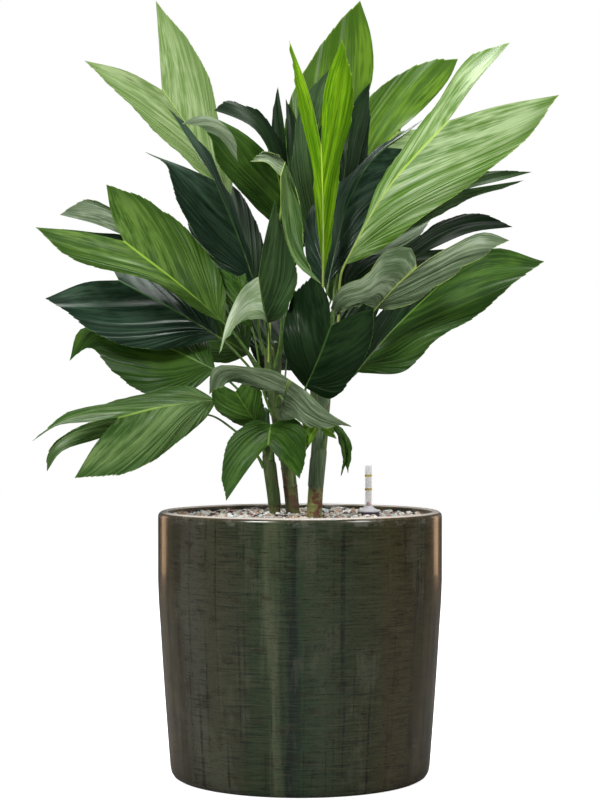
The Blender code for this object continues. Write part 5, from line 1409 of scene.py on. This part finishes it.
def stalk_of(frond, blade):
    """Give the petiole and the rachis as one tapering tube from the sheath to the notch."""
    middle = blade.shape[1] // 2
    under = -1.0 if frond.shows == "upper" else 1.0
    rib = blade[:, middle] + under * 0.05 * facing_of(blade)[:, middle]
    spaced = np.interp(np.linspace(0.05, 1.0, 14), vein_places(np.linspace(FIRST_VEIN, 1.0, len(rib)))[:, 0],
                       np.arange(len(rib)))
    knots = np.concatenate([frond.grid[1:BLADE_FIRST, 2], rib[spaced.round().astype(int)]])
    share = np.linspace(0.0, 1.0, 64)
    points = pulled(curve_through(knots, share))
    radii = np.interp(share, [0.0, 0.08, 0.5, 1.0], [0.26, 0.17, 0.11, 0.03]) * CM
    return tube(points, radii, line_frames(points), sides=10)


print("frond joiners ready")

# %% Build one frond
def seen_tones(frond):
    """Give the tones that the eye sees on the two halves."""
    tones = FROND_TONES[frond.name]
    return (tones, tones) if isinstance(tones, str) else tones


def blade_slots(frond, veins):
    """Give each front face's finish number: its half's, or the rolled tip's."""
    rows, columns = len(veins) - 1, len(BOTH_SIDES) - 1
    half = np.tile((np.arange(columns) >= columns // 2).astype(int), (rows, 1))
    slots = half.copy()
    if frond.name in ROLLED_TIPS:
        side, from_vein, from_out = ROLLED_TIPS[frond.name]
        rolled = (half == side) & (veins[:-1, None] > from_vein) & (np.abs(BOTH_SIDES[:-1])[None] > from_out)
        slots[rolled] = 5
    return slots.ravel(), 2 + half.ravel()


def build_frond(frond, draw):
    """Make one frond's mesh, with its map and its finishes."""
    veins = np.linspace(FIRST_VEIN, 1.0, 18 * frond.teeth + 1)
    blade = fine_blade(frond, veins)
    cut_teeth(blade, veins, 3 * frond.teeth, draw)
    blade = pleat_blade(blade, veins, frond, draw)
    skin = Skin()
    chart = np.stack(np.meshgrid(veins, BOTH_SIDES, indexing="ij"), axis=-1)
    add_sheet(skin, blade, 0.025, chart, *blade_slots(frond, veins), 4)
    stalk, faces = stalk_of(frond, blade)
    skin.add(stalk, faces, np.zeros((len(stalk), 2)), [4] * len(faces))
    clasp = sheath_sheet(frond)
    chart = np.stack(np.meshgrid(np.linspace(0, 1, SHEATH_ROWS), np.linspace(-1, 1, 21), indexing="ij"), axis=-1)
    cells = (clasp.shape[0] - 1) * (clasp.shape[1] - 1)
    add_sheet(skin, clasp, 0.03, chart, [6] * cells, [6] * cells, 6)
    return finish_frond(frond, skin)


def finish_frond(frond, skin):
    """Turn the gathered skin into an object with its map and its finishes."""
    mesh = bpy.data.meshes.new(frond.name + "_fine")
    mesh.from_pydata(np.concatenate(skin.places).tolist(), [], skin.faces)
    mesh.polygons.foreach_set("material_index", np.array(skin.slots, np.int32))
    mesh.shade_smooth()
    mesh.set_sharp_from_angle(angle=math.radians(60))
    layer = mesh.uv_layers.new(name="blade")
    corner = np.empty(len(mesh.loops), np.int32)
    mesh.loops.foreach_get("vertex_index", corner)
    layer.data.foreach_set("uv", np.concatenate(skin.charts)[corner].ravel())
    seen = seen_tones(frond)
    for tone in (*seen, *(FAR_SIDE[tone] for tone in seen)):
        mesh.materials.append(leaf_finish[tone])
    mesh.materials.append(stalk_pale if frond.name in PALE_STALKS else stalk_green)
    mesh.materials.append(leaf_finish["under_grey"])
    mesh.materials.append(sheath_pale if frond.cane == "stem_right" else sheath_olive)
    thing = bpy.data.objects.new(frond.name + "_fine", mesh)
    bpy.context.scene.collection.objects.link(thing)
    return thing


print("frond builder ready")

# %% Build all the fronds
PLANT = "planter"
draw = np.random.default_rng(11)
faces = 0
for frond in fronds:
    piece = build_frond(frond, draw)
    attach(piece, PLANT)
    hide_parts(frond.name)
    faces += 2 * len(piece.data.polygons)
print("triangles in the fronds, about:", faces)

# %% [markdown]
# ## The canes
#
# A cane of this palm is slim and green, ringed where old sheaths fell. The rings are made as geometry, because they
# catch the light and break the outline. Dry papery patches of brown sit low on the cane.

# %% Cane finish
def cane_material(name, dark, light, foot, brown):
    """Make a cane finish: green with lengthwise streaks, and brown papery patches low down."""
    material = bpy.data.materials.new(name)
    material.use_nodes = True
    tree = material.node_tree
    shader = tree.nodes["Principled BSDF"]
    where = tree.nodes.new("ShaderNodeTexCoord")
    streaks = use_group(tree, plant_streaks, Dark=(*dark, 1.0), Light=(*light, 1.0), Fine=320.0, Long=26.0)
    green = streaks.outputs["Color"]
    patches = add_node(tree, "ShaderNodeTexNoise", Scale=75.0, Detail=5.0, Roughness=0.6)
    tree.links.new(where.outputs["Object"], patches.inputs["Vector"])
    split = tree.nodes.new("ShaderNodeSeparateXYZ")
    tree.links.new(where.outputs["Object"], split.inputs[0])
    ragged = math_node(tree, "ADD", split.outputs["Z"],
                       math_node(tree, "MULTIPLY", math_node(tree, "SUBTRACT", patches.outputs["Fac"], 0.5), 0.03))
    base = math_node(tree, "SUBTRACT", 1.0, band(tree, ragged, 0.318, 0.324))
    green = mix_colours(tree, base, green, (*foot, 1.0))
    low = math_node(tree, "SUBTRACT", 1.0, band(tree, ragged, 0.338, 0.344))
    papery = math_node(tree, "MULTIPLY", low, band(tree, patches.outputs["Fac"], 0.50, 0.54))
    colour = mix_colours(tree, papery, green, (*brown, 1.0))
    tree.links.new(colour, shader.inputs["Base Color"])
    rough = math_node(tree, "ADD", 0.4, math_node(tree, "MULTIPLY", papery, 0.4))
    tree.links.new(rough, shader.inputs["Roughness"])
    bump = add_node(tree, "ShaderNodeBump", Strength=0.35, Distance=0.0008)
    tree.links.new(math_node(tree, "ADD", streaks.outputs["Height"], papery), bump.inputs["Height"])
    tree.links.new(bump.outputs["Normal"], shader.inputs["Normal"])
    return material


CANE_LOOKS = {
    "stem_left": ((0.008, 0.030, 0.010), (0.040, 0.085, 0.024), (0.090, 0.115, 0.030), (0.060, 0.030, 0.014)),
    "stem_middle": ((0.040, 0.070, 0.018), (0.150, 0.190, 0.060), (0.100, 0.115, 0.030), (0.100, 0.060, 0.030)),
    "stem_right": ((0.055, 0.100, 0.036), (0.200, 0.270, 0.140), (0.230, 0.240, 0.070), (0.160, 0.060, 0.030)),
    "stem_back_left": ((0.030, 0.060, 0.018), (0.080, 0.110, 0.038), (0.060, 0.080, 0.022), (0.090, 0.050, 0.025)),
    "stem_back_right": ((0.030, 0.060, 0.018), (0.080, 0.110, 0.038), (0.060, 0.080, 0.022), (0.090, 0.050, 0.025)),
}
cane_finish = {name: cane_material(name + "_bark", *look) for name, look in CANE_LOOKS.items()}
print("cane finishes:", len(cane_finish))

# %% Build the canes
def build_cane(cane):
    """Make a cane as a ringed tube from its foot in the bed to its top."""
    low, top = cane.path[0][1], cane.path[-1][1]
    heights = np.arange(low, top, 0.12)
    points = np.array([cane_at(cane, height)[0] for height in heights])
    radii = np.array([cane_at(cane, height)[1] for height in heights])
    since = np.mod(heights - SOIL_TOP - FIRST_SCAR, SCAR_STEP)
    ring = np.exp(-(np.minimum(since, SCAR_STEP - since) / 0.10)**2)
    lift = SCAR * ring + 0.015 * since / SCAR_STEP
    radii = radii + np.where(heights > SOIL_TOP, lift, 0.0)
    radii[-3:] *= [0.8, 0.55, 0.25]
    points = pulled(points)
    places, faces = tube(points, radii * CM, line_frames(points), sides=24)
    mesh = bpy.data.meshes.new(cane.name + "_fine")
    mesh.from_pydata(places.tolist(), [], faces)
    mesh.shade_smooth()
    mesh.materials.append(cane_finish[cane.name])
    thing = bpy.data.objects.new(cane.name + "_fine", mesh)
    bpy.context.scene.collection.objects.link(thing)
    return thing


for cane in CANES:
    piece = build_cane(cane)
    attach(piece, PLANT)
    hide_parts(cane.name)
print("canes built:", len(CANES))

# %% [markdown]
# ## The bed of granules
#
# The bed is loose mineral granules of a few millimetres, in cream, white, beige, pale cyan and purplish brown. They
# are small stones with flat faces, so each starts as a subdivided icosahedron whose corners are moved at random by a
# seeded draw. They lie on a darker bed on a jittered triangular pattern, and keep clear of the canes and the gauge.

# %% Granule finishes
def stone_material(name, dark, light):
    """Make a dry stone finish with a fine grain."""
    material = bpy.data.materials.new(name)
    material.use_nodes = True
    tree = material.node_tree
    shader = tree.nodes["Principled BSDF"]
    grain = use_group(tree, fine_grain, Dark=(*dark, 1.0), Light=(*light, 1.0))
    tree.links.new(grain.outputs["Color"], shader.inputs["Base Color"])
    shader.inputs["Roughness"].default_value = 0.85
    bump = add_node(tree, "ShaderNodeBump", Strength=0.5, Distance=0.0005)
    tree.links.new(grain.outputs["Height"], bump.inputs["Height"])
    tree.links.new(bump.outputs["Normal"], shader.inputs["Normal"])
    return material


STONES = {
    "stone_cream": (0.30, (0.42, 0.36, 0.27), (0.74, 0.68, 0.57)),
    "stone_white": (0.20, (0.66, 0.66, 0.64), (0.95, 0.95, 0.93)),
    "stone_beige": (0.18, (0.30, 0.19, 0.14), (0.56, 0.38, 0.30)),
    "stone_cyan": (0.12, (0.36, 0.50, 0.52), (0.66, 0.80, 0.82)),
    "stone_brown": (0.20, (0.030, 0.016, 0.018), (0.120, 0.070, 0.075)),
}
stone_finish = {name: stone_material(name, *look[1:]) for name, look in STONES.items()}
print("stone finishes:", len(stone_finish))

# %% Scatter the granules
GAUGE_ACROSS = 7.75
GAUGE_BACK = 0.5
GAUGE_RING = 1.24
BED_RADIUS = 14.45
STONE_PITCH = 0.5
SOIL_DRAW = np.random.default_rng(7)


def icosphere():
    """Give the corners and faces of a once divided icosahedron of radius one."""
    shape = bmesh.new()
    bmesh.ops.create_icosphere(shape, subdivisions=2, radius=1.0)
    corners = np.array([vertex.co for vertex in shape.verts])
    faces = np.array([[vertex.index for vertex in face.verts] for face in shape.faces])
    shape.free()
    return corners, faces


def stone_places():
    """Give the granules' middles on a jittered triangular pattern, clear of the canes and the gauge."""
    posts = [(pulled(cane_at(cane, SOIL_TOP)[0]) / CM, cane.foot) for cane in CANES]
    posts.append((np.array([GAUGE_ACROSS, GAUGE_BACK, 0.0]), GAUGE_RING))
    places = []
    row_step = STONE_PITCH * math.sqrt(3) / 2
    rows = int(2 * BED_RADIUS / row_step) + 2
    for row in range(rows):
        y = -BED_RADIUS + row * row_step
        for x in np.arange(-BED_RADIUS + (row % 2) * STONE_PITCH / 2, BED_RADIUS, STONE_PITCH):
            spot = np.array([x, y]) + SOIL_DRAW.uniform(-0.16, 0.16, 2)
            if np.hypot(*spot) > BED_RADIUS - 0.1:
                continue
            if all(np.hypot(*(spot - post[:2])) > radius + 0.12 for post, radius in posts):
                places.append([*spot, SOIL_TOP - 0.04 + SOIL_DRAW.uniform(-0.2, 0.2)])
    return np.array(places)


def scatter_stones():
    """Build the granules, one mesh a colour."""
    corners, faces = icosphere()
    places = stone_places()
    kinds = SOIL_DRAW.choice(len(STONES), len(places), p=[look[0] for look in STONES.values()])
    pieces = []
    for number, name in enumerate(STONES):
        mine = places[kinds == number]
        count = len(mine)
        size = SOIL_DRAW.uniform(0.2, 0.34, (count, 1, 1)) * SOIL_DRAW.uniform(0.8, 1.2, (count, 1, 3))
        rough = 1.0 + SOIL_DRAW.normal(0.0, 0.11, (count, len(corners), 1))
        turned = corners[None] * rough * size
        angle = SOIL_DRAW.uniform(0, 2 * math.pi, count)
        cos, sin = np.cos(angle)[:, None], np.sin(angle)[:, None]
        x = turned[..., 0] * cos - turned[..., 1] * sin
        y = turned[..., 0] * sin + turned[..., 1] * cos
        points = np.stack([x, y, turned[..., 2]], axis=-1) + mine[:, None]
        every = faces[None] + (np.arange(count) * len(corners))[:, None, None]
        mesh = bpy.data.meshes.new(name)
        mesh.from_pydata((points * CM).reshape(-1, 3).tolist(), [], every.reshape(-1, 3).tolist())
        mesh.materials.append(stone_finish[name])
        thing = bpy.data.objects.new(name, mesh)
        bpy.context.scene.collection.objects.link(thing)
        pieces.append(thing)
    print("granules:", len(places))
    return pieces


for piece in scatter_stones():
    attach(piece, PLANT)
    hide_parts("substrate")

# %% [markdown]
# ## The pot
#
# The pot is thrown ware under a dark gloss glaze: straight above, drawn in a little below, with a rounded lip. It is
# turned from one profile, as the solid is, with more sides and a rounder lip.

# %% Turn the pot
POT_RADIUS = 16.0
POT_HEIGHT = 29.8
POT_WALL = 1.3
POT_FLOOR = 2.0


def turned_mesh(name, profile, sides, centre=(0.0, 0.0)):
    """Turn a profile of (radius, height) in centimetres about an upright axis."""
    profile = np.array(profile, float)
    turn = np.linspace(0.0, 2 * math.pi, sides, endpoint=False)
    ring = np.stack([np.cos(turn), np.sin(turn)], axis=-1)
    places = np.concatenate([profile[:, None, :1] * ring[None], np.repeat(profile[:, None, 1:], sides, 1)], axis=-1)
    places[..., 0] += centre[0]
    places[..., 1] += centre[1]
    faces = []
    for i in range(len(profile) - 1):
        for j in range(sides):
            k = (j + 1) % sides
            faces.append((i * sides + j, (i + 1) * sides + j, (i + 1) * sides + k, i * sides + k))
    mesh = bpy.data.meshes.new(name)
    mesh.from_pydata((places * CM).reshape(-1, 3).tolist(), [], faces)
    shape = bmesh.new()
    shape.from_mesh(mesh)
    bmesh.ops.remove_doubles(shape, verts=shape.verts, dist=1e-6)
    bmesh.ops.recalc_face_normals(shape, faces=shape.faces)
    shape.to_mesh(mesh)
    shape.free()
    mesh.shade_smooth()
    mesh.set_sharp_from_angle(angle=math.radians(50))
    thing = bpy.data.objects.new(name, mesh)
    bpy.context.scene.collection.objects.link(thing)
    return thing


def pot_profile():
    """List the pot's profile from the inside of its floor over the lip to the foot."""
    inside = POT_RADIUS - POT_WALL
    lip_middle = (POT_RADIUS + inside) / 2
    lip_half = POT_WALL / 2
    lip = [(lip_middle + lip_half * math.cos(a), POT_HEIGHT - 0.62 + 0.62 * math.sin(a))
           for a in np.linspace(math.pi, 0.0, 15)]
    wall = [(POT_RADIUS, 28.4), (POT_RADIUS, 25.0), (POT_RADIUS, 22.0), (15.9, 19.5), (15.73, 17.0), (15.5, 13.2),
            (15.26, 9.6), (14.95, 5.4), (14.62, 1.2), (14.5, 0.6), (14.25, 0.2), (13.9, 0.0)]
    return [(0.0, POT_FLOOR), (12.0, POT_FLOOR), (12.9, POT_FLOOR + 0.6), (inside - 0.4, 14.0), (inside, 26.0),
            *lip, *wall, (0.0, 0.0)]


pot = turned_mesh("pot_glazed", pot_profile(), 144)
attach(pot, PLANT)
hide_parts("pot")
print("pot faces:", len(pot.data.polygons))

# %% [markdown]
# ## The bed under the granules
#
# A closed bed fills the pot's top just under the loose stones, so that no gap between two of them looks into an empty
# pot. It is turned like the pot, and its top is then made lumpy by a seeded draw, as packed granules are.

# %% The bed under the granules
def build_bed():
    """Make the dark lumpy bed under the granules."""
    top = [(0.5 * step, SOIL_TOP - 0.14) for step in range(29)]
    thing = turned_mesh("granule_bed", top + [(14.6, SOIL_TOP - 0.14), (14.2, 17.0), (0.0, 17.0)], 96)
    draw = np.random.default_rng(11)
    for vertex in thing.data.vertices:
        x, y, z = vertex.co / CM
        if z > SOIL_TOP - 1.0 and math.hypot(x, y) < 14.1:
            vertex.co += Vector(draw.uniform(-1.0, 1.0, 3) * (0.08, 0.08, 0.1)) * CM
    thing.data.materials.append(stone_material("bed_brown", (0.07, 0.055, 0.05), (0.22, 0.18, 0.16)))
    return thing


bed = build_bed()
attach(bed, PLANT)
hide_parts("substrate")
print("bed laid at", SOIL_TOP)

# %% [markdown]
# ## The glaze
#
# The glaze is dark olive and green, laid on in fine turning lines and broken by upright bands of green, blue-black and
# brown where it ran. The coppery brown bands close to both sides are partly painted reflection of warm light on the
# pot's edges. Mottled patches show where it is thin, and the lip is coppery where the glaze drained off the edge. Its
# pale crown line is partly the glaze thinning there and partly a painted highlight. Everything is drawn by noise in
# the object's own space: angle and height for bands and lines, plain places for patches.

# %% The glaze
# Upright bands of the glaze from the left side over the front to the right side. The back repeats them mirrored.
# The coppery brown bands near both sides, round 0.08 and 0.94, are partly painted reflection of warm light on the
# pot's edges.
GLAZE_AND_EDGE_REFLECTION_BANDS = [
    (0.00, (0.026, 0.026, 0.013)), (0.04, (0.050, 0.044, 0.022)), (0.08, (0.088, 0.063, 0.031)),
    (0.12, (0.062, 0.051, 0.026)), (0.18, (0.032, 0.028, 0.016)), (0.24, (0.050, 0.048, 0.036)),
    (0.30, (0.038, 0.040, 0.022)), (0.35, (0.031, 0.034, 0.019)), (0.39, (0.020, 0.031, 0.014)),
    (0.42, (0.020, 0.034, 0.014)), (0.44, (0.060, 0.070, 0.036)), (0.46, (0.025, 0.040, 0.018)),
    (0.48, (0.007, 0.013, 0.010)), (0.50, (0.018, 0.033, 0.016)), (0.55, (0.028, 0.039, 0.020)),
    (0.60, (0.022, 0.030, 0.014)), (0.65, (0.027, 0.031, 0.013)), (0.72, (0.040, 0.034, 0.014)),
    (0.80, (0.034, 0.028, 0.011)), (0.86, (0.048, 0.036, 0.015)), (0.90, (0.026, 0.021, 0.009)),
    (0.94, (0.088, 0.063, 0.028)), (1.00, (0.028, 0.028, 0.014))]


def make_glaze():
    """Make the pot's glaze."""
    material = bpy.data.materials.new("pot_glaze")
    material.use_nodes = True
    tree = material.node_tree
    shader = tree.nodes["Principled BSDF"]
    where = tree.nodes.new("ShaderNodeTexCoord")
    split = tree.nodes.new("ShaderNodeSeparateXYZ")
    tree.links.new(where.outputs["Object"], split.inputs[0])
    height = split.outputs["Z"]
    angle = math_node(tree, "ARCTAN2", split.outputs["X"], math_node(tree, "MULTIPLY", split.outputs["Y"], -1.0))

    def noise(scale_around, scale_up, detail, rough, seed):
        place = tree.nodes.new("ShaderNodeCombineXYZ")
        tree.links.new(math_node(tree, "MULTIPLY", math_node(tree, "SINE", angle), scale_around), place.inputs["X"])
        tree.links.new(math_node(tree, "MULTIPLY", math_node(tree, "COSINE", angle), scale_around), place.inputs["Y"])
        tree.links.new(math_node(tree, "ADD", math_node(tree, "MULTIPLY", height, scale_up), seed), place.inputs["Z"])
        cloud = add_node(tree, "ShaderNodeTexNoise", Scale=1.0, Detail=detail, Roughness=rough)
        tree.links.new(place.outputs[0], cloud.inputs["Vector"])
        return cloud.outputs["Fac"]

    warp = math_node(tree, "MULTIPLY", math_node(tree, "SUBTRACT", noise(9.0, 5.0, 3.0, 0.6, 3.0), 0.5), 0.09)
    ramp = tree.nodes.new("ShaderNodeValToRGB")
    across = math_node(tree, "ARCSINE", math_node(tree, "SINE", angle))
    spread = math_node(tree, "ADD", math_node(tree, "MULTIPLY", across, 1 / math.pi), 0.5)
    tree.links.new(math_node(tree, "ADD", spread, warp), ramp.inputs["Fac"])
    stops = ramp.color_ramp.elements
    for number, (place, shade) in enumerate(GLAZE_AND_EDGE_REFLECTION_BANDS):
        stop = stops[number] if number < 2 else stops.new(place)
        stop.position = place
        stop.color = (*shade, 1.0)
    thin_runs = noise(26.0, 3.0, 4.0, 0.6, 9.0)
    lines = noise(5.0, 640.0, 3.0, 0.7, 0.0)
    patches = noise(7.0, 60.0, 6.0, 0.7, 5.0)
    thin_spots = noise(4.0, 9.0, 5.0, 0.6, 12.0)
    specks = noise(90.0, 560.0, 2.0, 0.6, 1.0)
    black, light = (0.002, 0.004, 0.003, 1.0), (0.060, 0.056, 0.030, 1.0)
    copper, cream_and_highlight = (0.10, 0.060, 0.028, 1.0), (0.85, 0.76, 0.68, 1.0)
    colour = ramp.outputs["Color"]
    colour = mix_colours(tree, math_node(tree, "MULTIPLY", band(tree, thin_spots, 0.54, 0.64), 0.4), colour,
                         (0.070, 0.072, 0.050, 1.0))
    colour = mix_colours(tree, math_node(tree, "MULTIPLY", band(tree, patches, 0.52, 0.64), 0.5), colour,
                         (0.018, 0.012, 0.005, 1.0))
    broken = math_node(tree, "MULTIPLY", band(tree, thin_runs, 0.56, 0.66), band(tree, patches, 0.36, 0.52))
    colour = mix_colours(tree, math_node(tree, "MULTIPLY", broken, 0.6), colour, black)
    colour = mix_colours(tree, math_node(tree, "MULTIPLY", band(tree, lines, 0.50, 0.68), 0.42), colour, light)
    colour = mix_colours(tree, math_node(tree, "MULTIPLY", band(tree, lines, 0.48, 0.34), 0.50), colour, black)
    colour = mix_colours(tree, math_node(tree, "MULTIPLY", band(tree, specks, 0.60, 0.68), 0.6), colour,
                         (0.003, 0.004, 0.003, 1.0))
    lip = band(tree, height, (POT_HEIGHT - 0.55) * CM, (POT_HEIGHT - 0.1) * CM)
    ragged = math_node(tree, "MULTIPLY", lip, band(tree, patches, 0.30, 0.55))
    colour = mix_colours(tree, math_node(tree, "MULTIPLY", ragged, 0.5), colour, copper)
    worn = math_node(tree, "MULTIPLY", band(tree, height, (POT_HEIGHT - 1.1) * CM, (POT_HEIGHT - 0.8) * CM),
                     band(tree, patches, 0.50, 0.60))
    colour = mix_colours(tree, math_node(tree, "MULTIPLY", worn, 0.4), colour, (0.16, 0.16, 0.13, 1.0))
    # The cream line round the lip's crown is partly the glaze thinning pale and partly a painted highlight.
    crown = band(tree, height, (POT_HEIGHT - 0.20) * CM, (POT_HEIGHT - 0.08) * CM)
    colour = mix_colours(tree, math_node(tree, "MULTIPLY", crown, 0.75), colour, cream_and_highlight)
    tree.links.new(colour, shader.inputs["Base Color"])
    rough = math_node(tree, "ADD", 0.14, math_node(tree, "MULTIPLY", lines, 0.16))
    tree.links.new(rough, shader.inputs["Roughness"])
    shader.inputs["Specular IOR Level"].default_value = 0.35
    shader.inputs["Coat Weight"].default_value = 0.35
    shader.inputs["Coat Roughness"].default_value = 0.06
    bump = add_node(tree, "ShaderNodeBump", Strength=0.12, Distance=0.0006)
    relief = math_node(tree, "ADD", math_node(tree, "MULTIPLY", lines, 0.8), math_node(tree, "MULTIPLY", patches, 0.8))
    tree.links.new(relief, bump.inputs["Height"])
    tree.links.new(bump.outputs["Normal"], shader.inputs["Normal"])
    return material


pot.data.materials.append(make_glaze())
print("glaze on")

# %% [markdown]
# ## The water gauge
#
# A small gauge tells how wet the bed is. A grey cone with a darker ring stands in the granules and carries a clear
# tube with two plain yellow bars. The red tip of the float shows at the tube's foot, and rises with the water.

# %% Gauge finishes
def plain_material(name, colour, rough, **values):
    """Make a moulded plastic with a faint grain in its colour and roughness."""
    material = bpy.data.materials.new(name)
    material.use_nodes = True
    tree = material.node_tree
    shader = tree.nodes["Principled BSDF"]
    darker = tuple(0.92 * part for part in colour)
    grain = use_group(tree, fine_grain, Dark=(*darker, 1.0), Light=(*colour, 1.0), Scale=900.0)
    tree.links.new(grain.outputs["Color"], shader.inputs["Base Color"])
    tree.links.new(math_node(tree, "ADD", rough, math_node(tree, "MULTIPLY", grain.outputs["Height"], 0.12)),
                   shader.inputs["Roughness"])
    for key, value in values.items():
        shader.inputs[key.replace("_", " ")].default_value = value
    return material


gauge_grey = plain_material("gauge_grey", (0.86, 0.84, 0.90), 0.35)
gauge_ring = plain_material("gauge_ring", (0.05, 0.035, 0.06), 0.4)
gauge_clear = plain_material("gauge_clear", (0.95, 0.95, 0.97), 0.12, Alpha=0.3)
gauge_yellow = plain_material("gauge_yellow", (0.75, 0.55, 0.05), 0.35)
gauge_red = plain_material("gauge_red", (0.85, 0.02, 0.02), 0.35)
print("gauge finishes ready")

# %% Build the gauge
GAUGE = (GAUGE_ACROSS, GAUGE_BACK)
GAUGE_TOP = 34.85
GAUGE_FOOT = 3.0
GAUGE_BORE = 0.28
GAUGE_CONE_TOP = 30.32


def rounded(radius, height, corner, steps=5):
    """List a rounded outer corner of a turned piece, from its top to its side."""
    return [(radius - corner + corner * math.sin(a), height - corner + corner * math.cos(a))
            for a in np.linspace(0.0, math.pi / 2, steps)]


def gauge_piece(name, profile, material, body, node):
    """Turn a piece of the gauge and tie it to its body and its solid."""
    thing = turned_mesh(name, profile, 40, GAUGE)
    thing.data.materials.append(material)
    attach(thing, body)
    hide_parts(node)
    return thing


gauge_piece("gauge_cone", [
    (0.35, GAUGE_FOOT), (0.35, GAUGE_FOOT + 0.2), (0.78, GAUGE_FOOT + 0.2), (0.78, 28.8), (GAUGE_BORE, 29.3),
    (GAUGE_BORE, GAUGE_CONE_TOP), *rounded(0.47, GAUGE_CONE_TOP, 0.06), (0.52, 30.18), (0.66, 30.05), (0.9, 29.92),
    *rounded(1.2, 29.84, 0.12), (1.2, 29.58), (0.95, 29.52), (0.95, GAUGE_FOOT), (0.35, GAUGE_FOOT)],
    gauge_grey, PLANT, "gauge_housing")
gauge_piece("gauge_ring_foot", [
    (0.96, 29.6), *rounded(1.24, 29.62, 0.05), (1.24, 29.3), (1.18, 29.12), (0.96, 29.12), (0.96, 29.6)],
    gauge_ring, PLANT, "gauge_housing")
foot = GAUGE_CONE_TOP + GAP
gauge_piece("gauge_tube", [
    (0.0, GAUGE_TOP), *rounded(0.4, GAUGE_TOP, 0.1), (0.4, foot), (GAUGE_BORE, foot), (GAUGE_BORE, GAUGE_TOP - 0.3),
    (0.2, GAUGE_TOP - 0.14), (0.0, GAUGE_TOP - 0.12)],
    gauge_clear, PLANT, "gauge_sight_tube")
for number, height in enumerate((33.7, 32.15)):
    gauge_piece(f"gauge_bar_{number + 1}", [
        (0.385, height + 0.1), (0.415, height + 0.1), (0.415, height - 0.1), (0.385, height - 0.1),
        (0.385, height + 0.1)],
        gauge_yellow, PLANT, "gauge_sight_tube")
rest = GAUGE_FOOT + 0.2 + GAP
gauge_piece("gauge_float_rod", [
    (0.0, 30.72), (0.12, 30.71), (0.17, 30.66), (0.2, 30.5), (0.2, 30.25), (0.09, 30.15), (0.09, rest + 4.2),
    (0.5, rest + 4.0), (0.66, rest + 3.7), (0.66, rest + 0.3), (0.5, rest), (0.0, rest)],
    gauge_red, "float", "gauge_float")
print("gauge built")
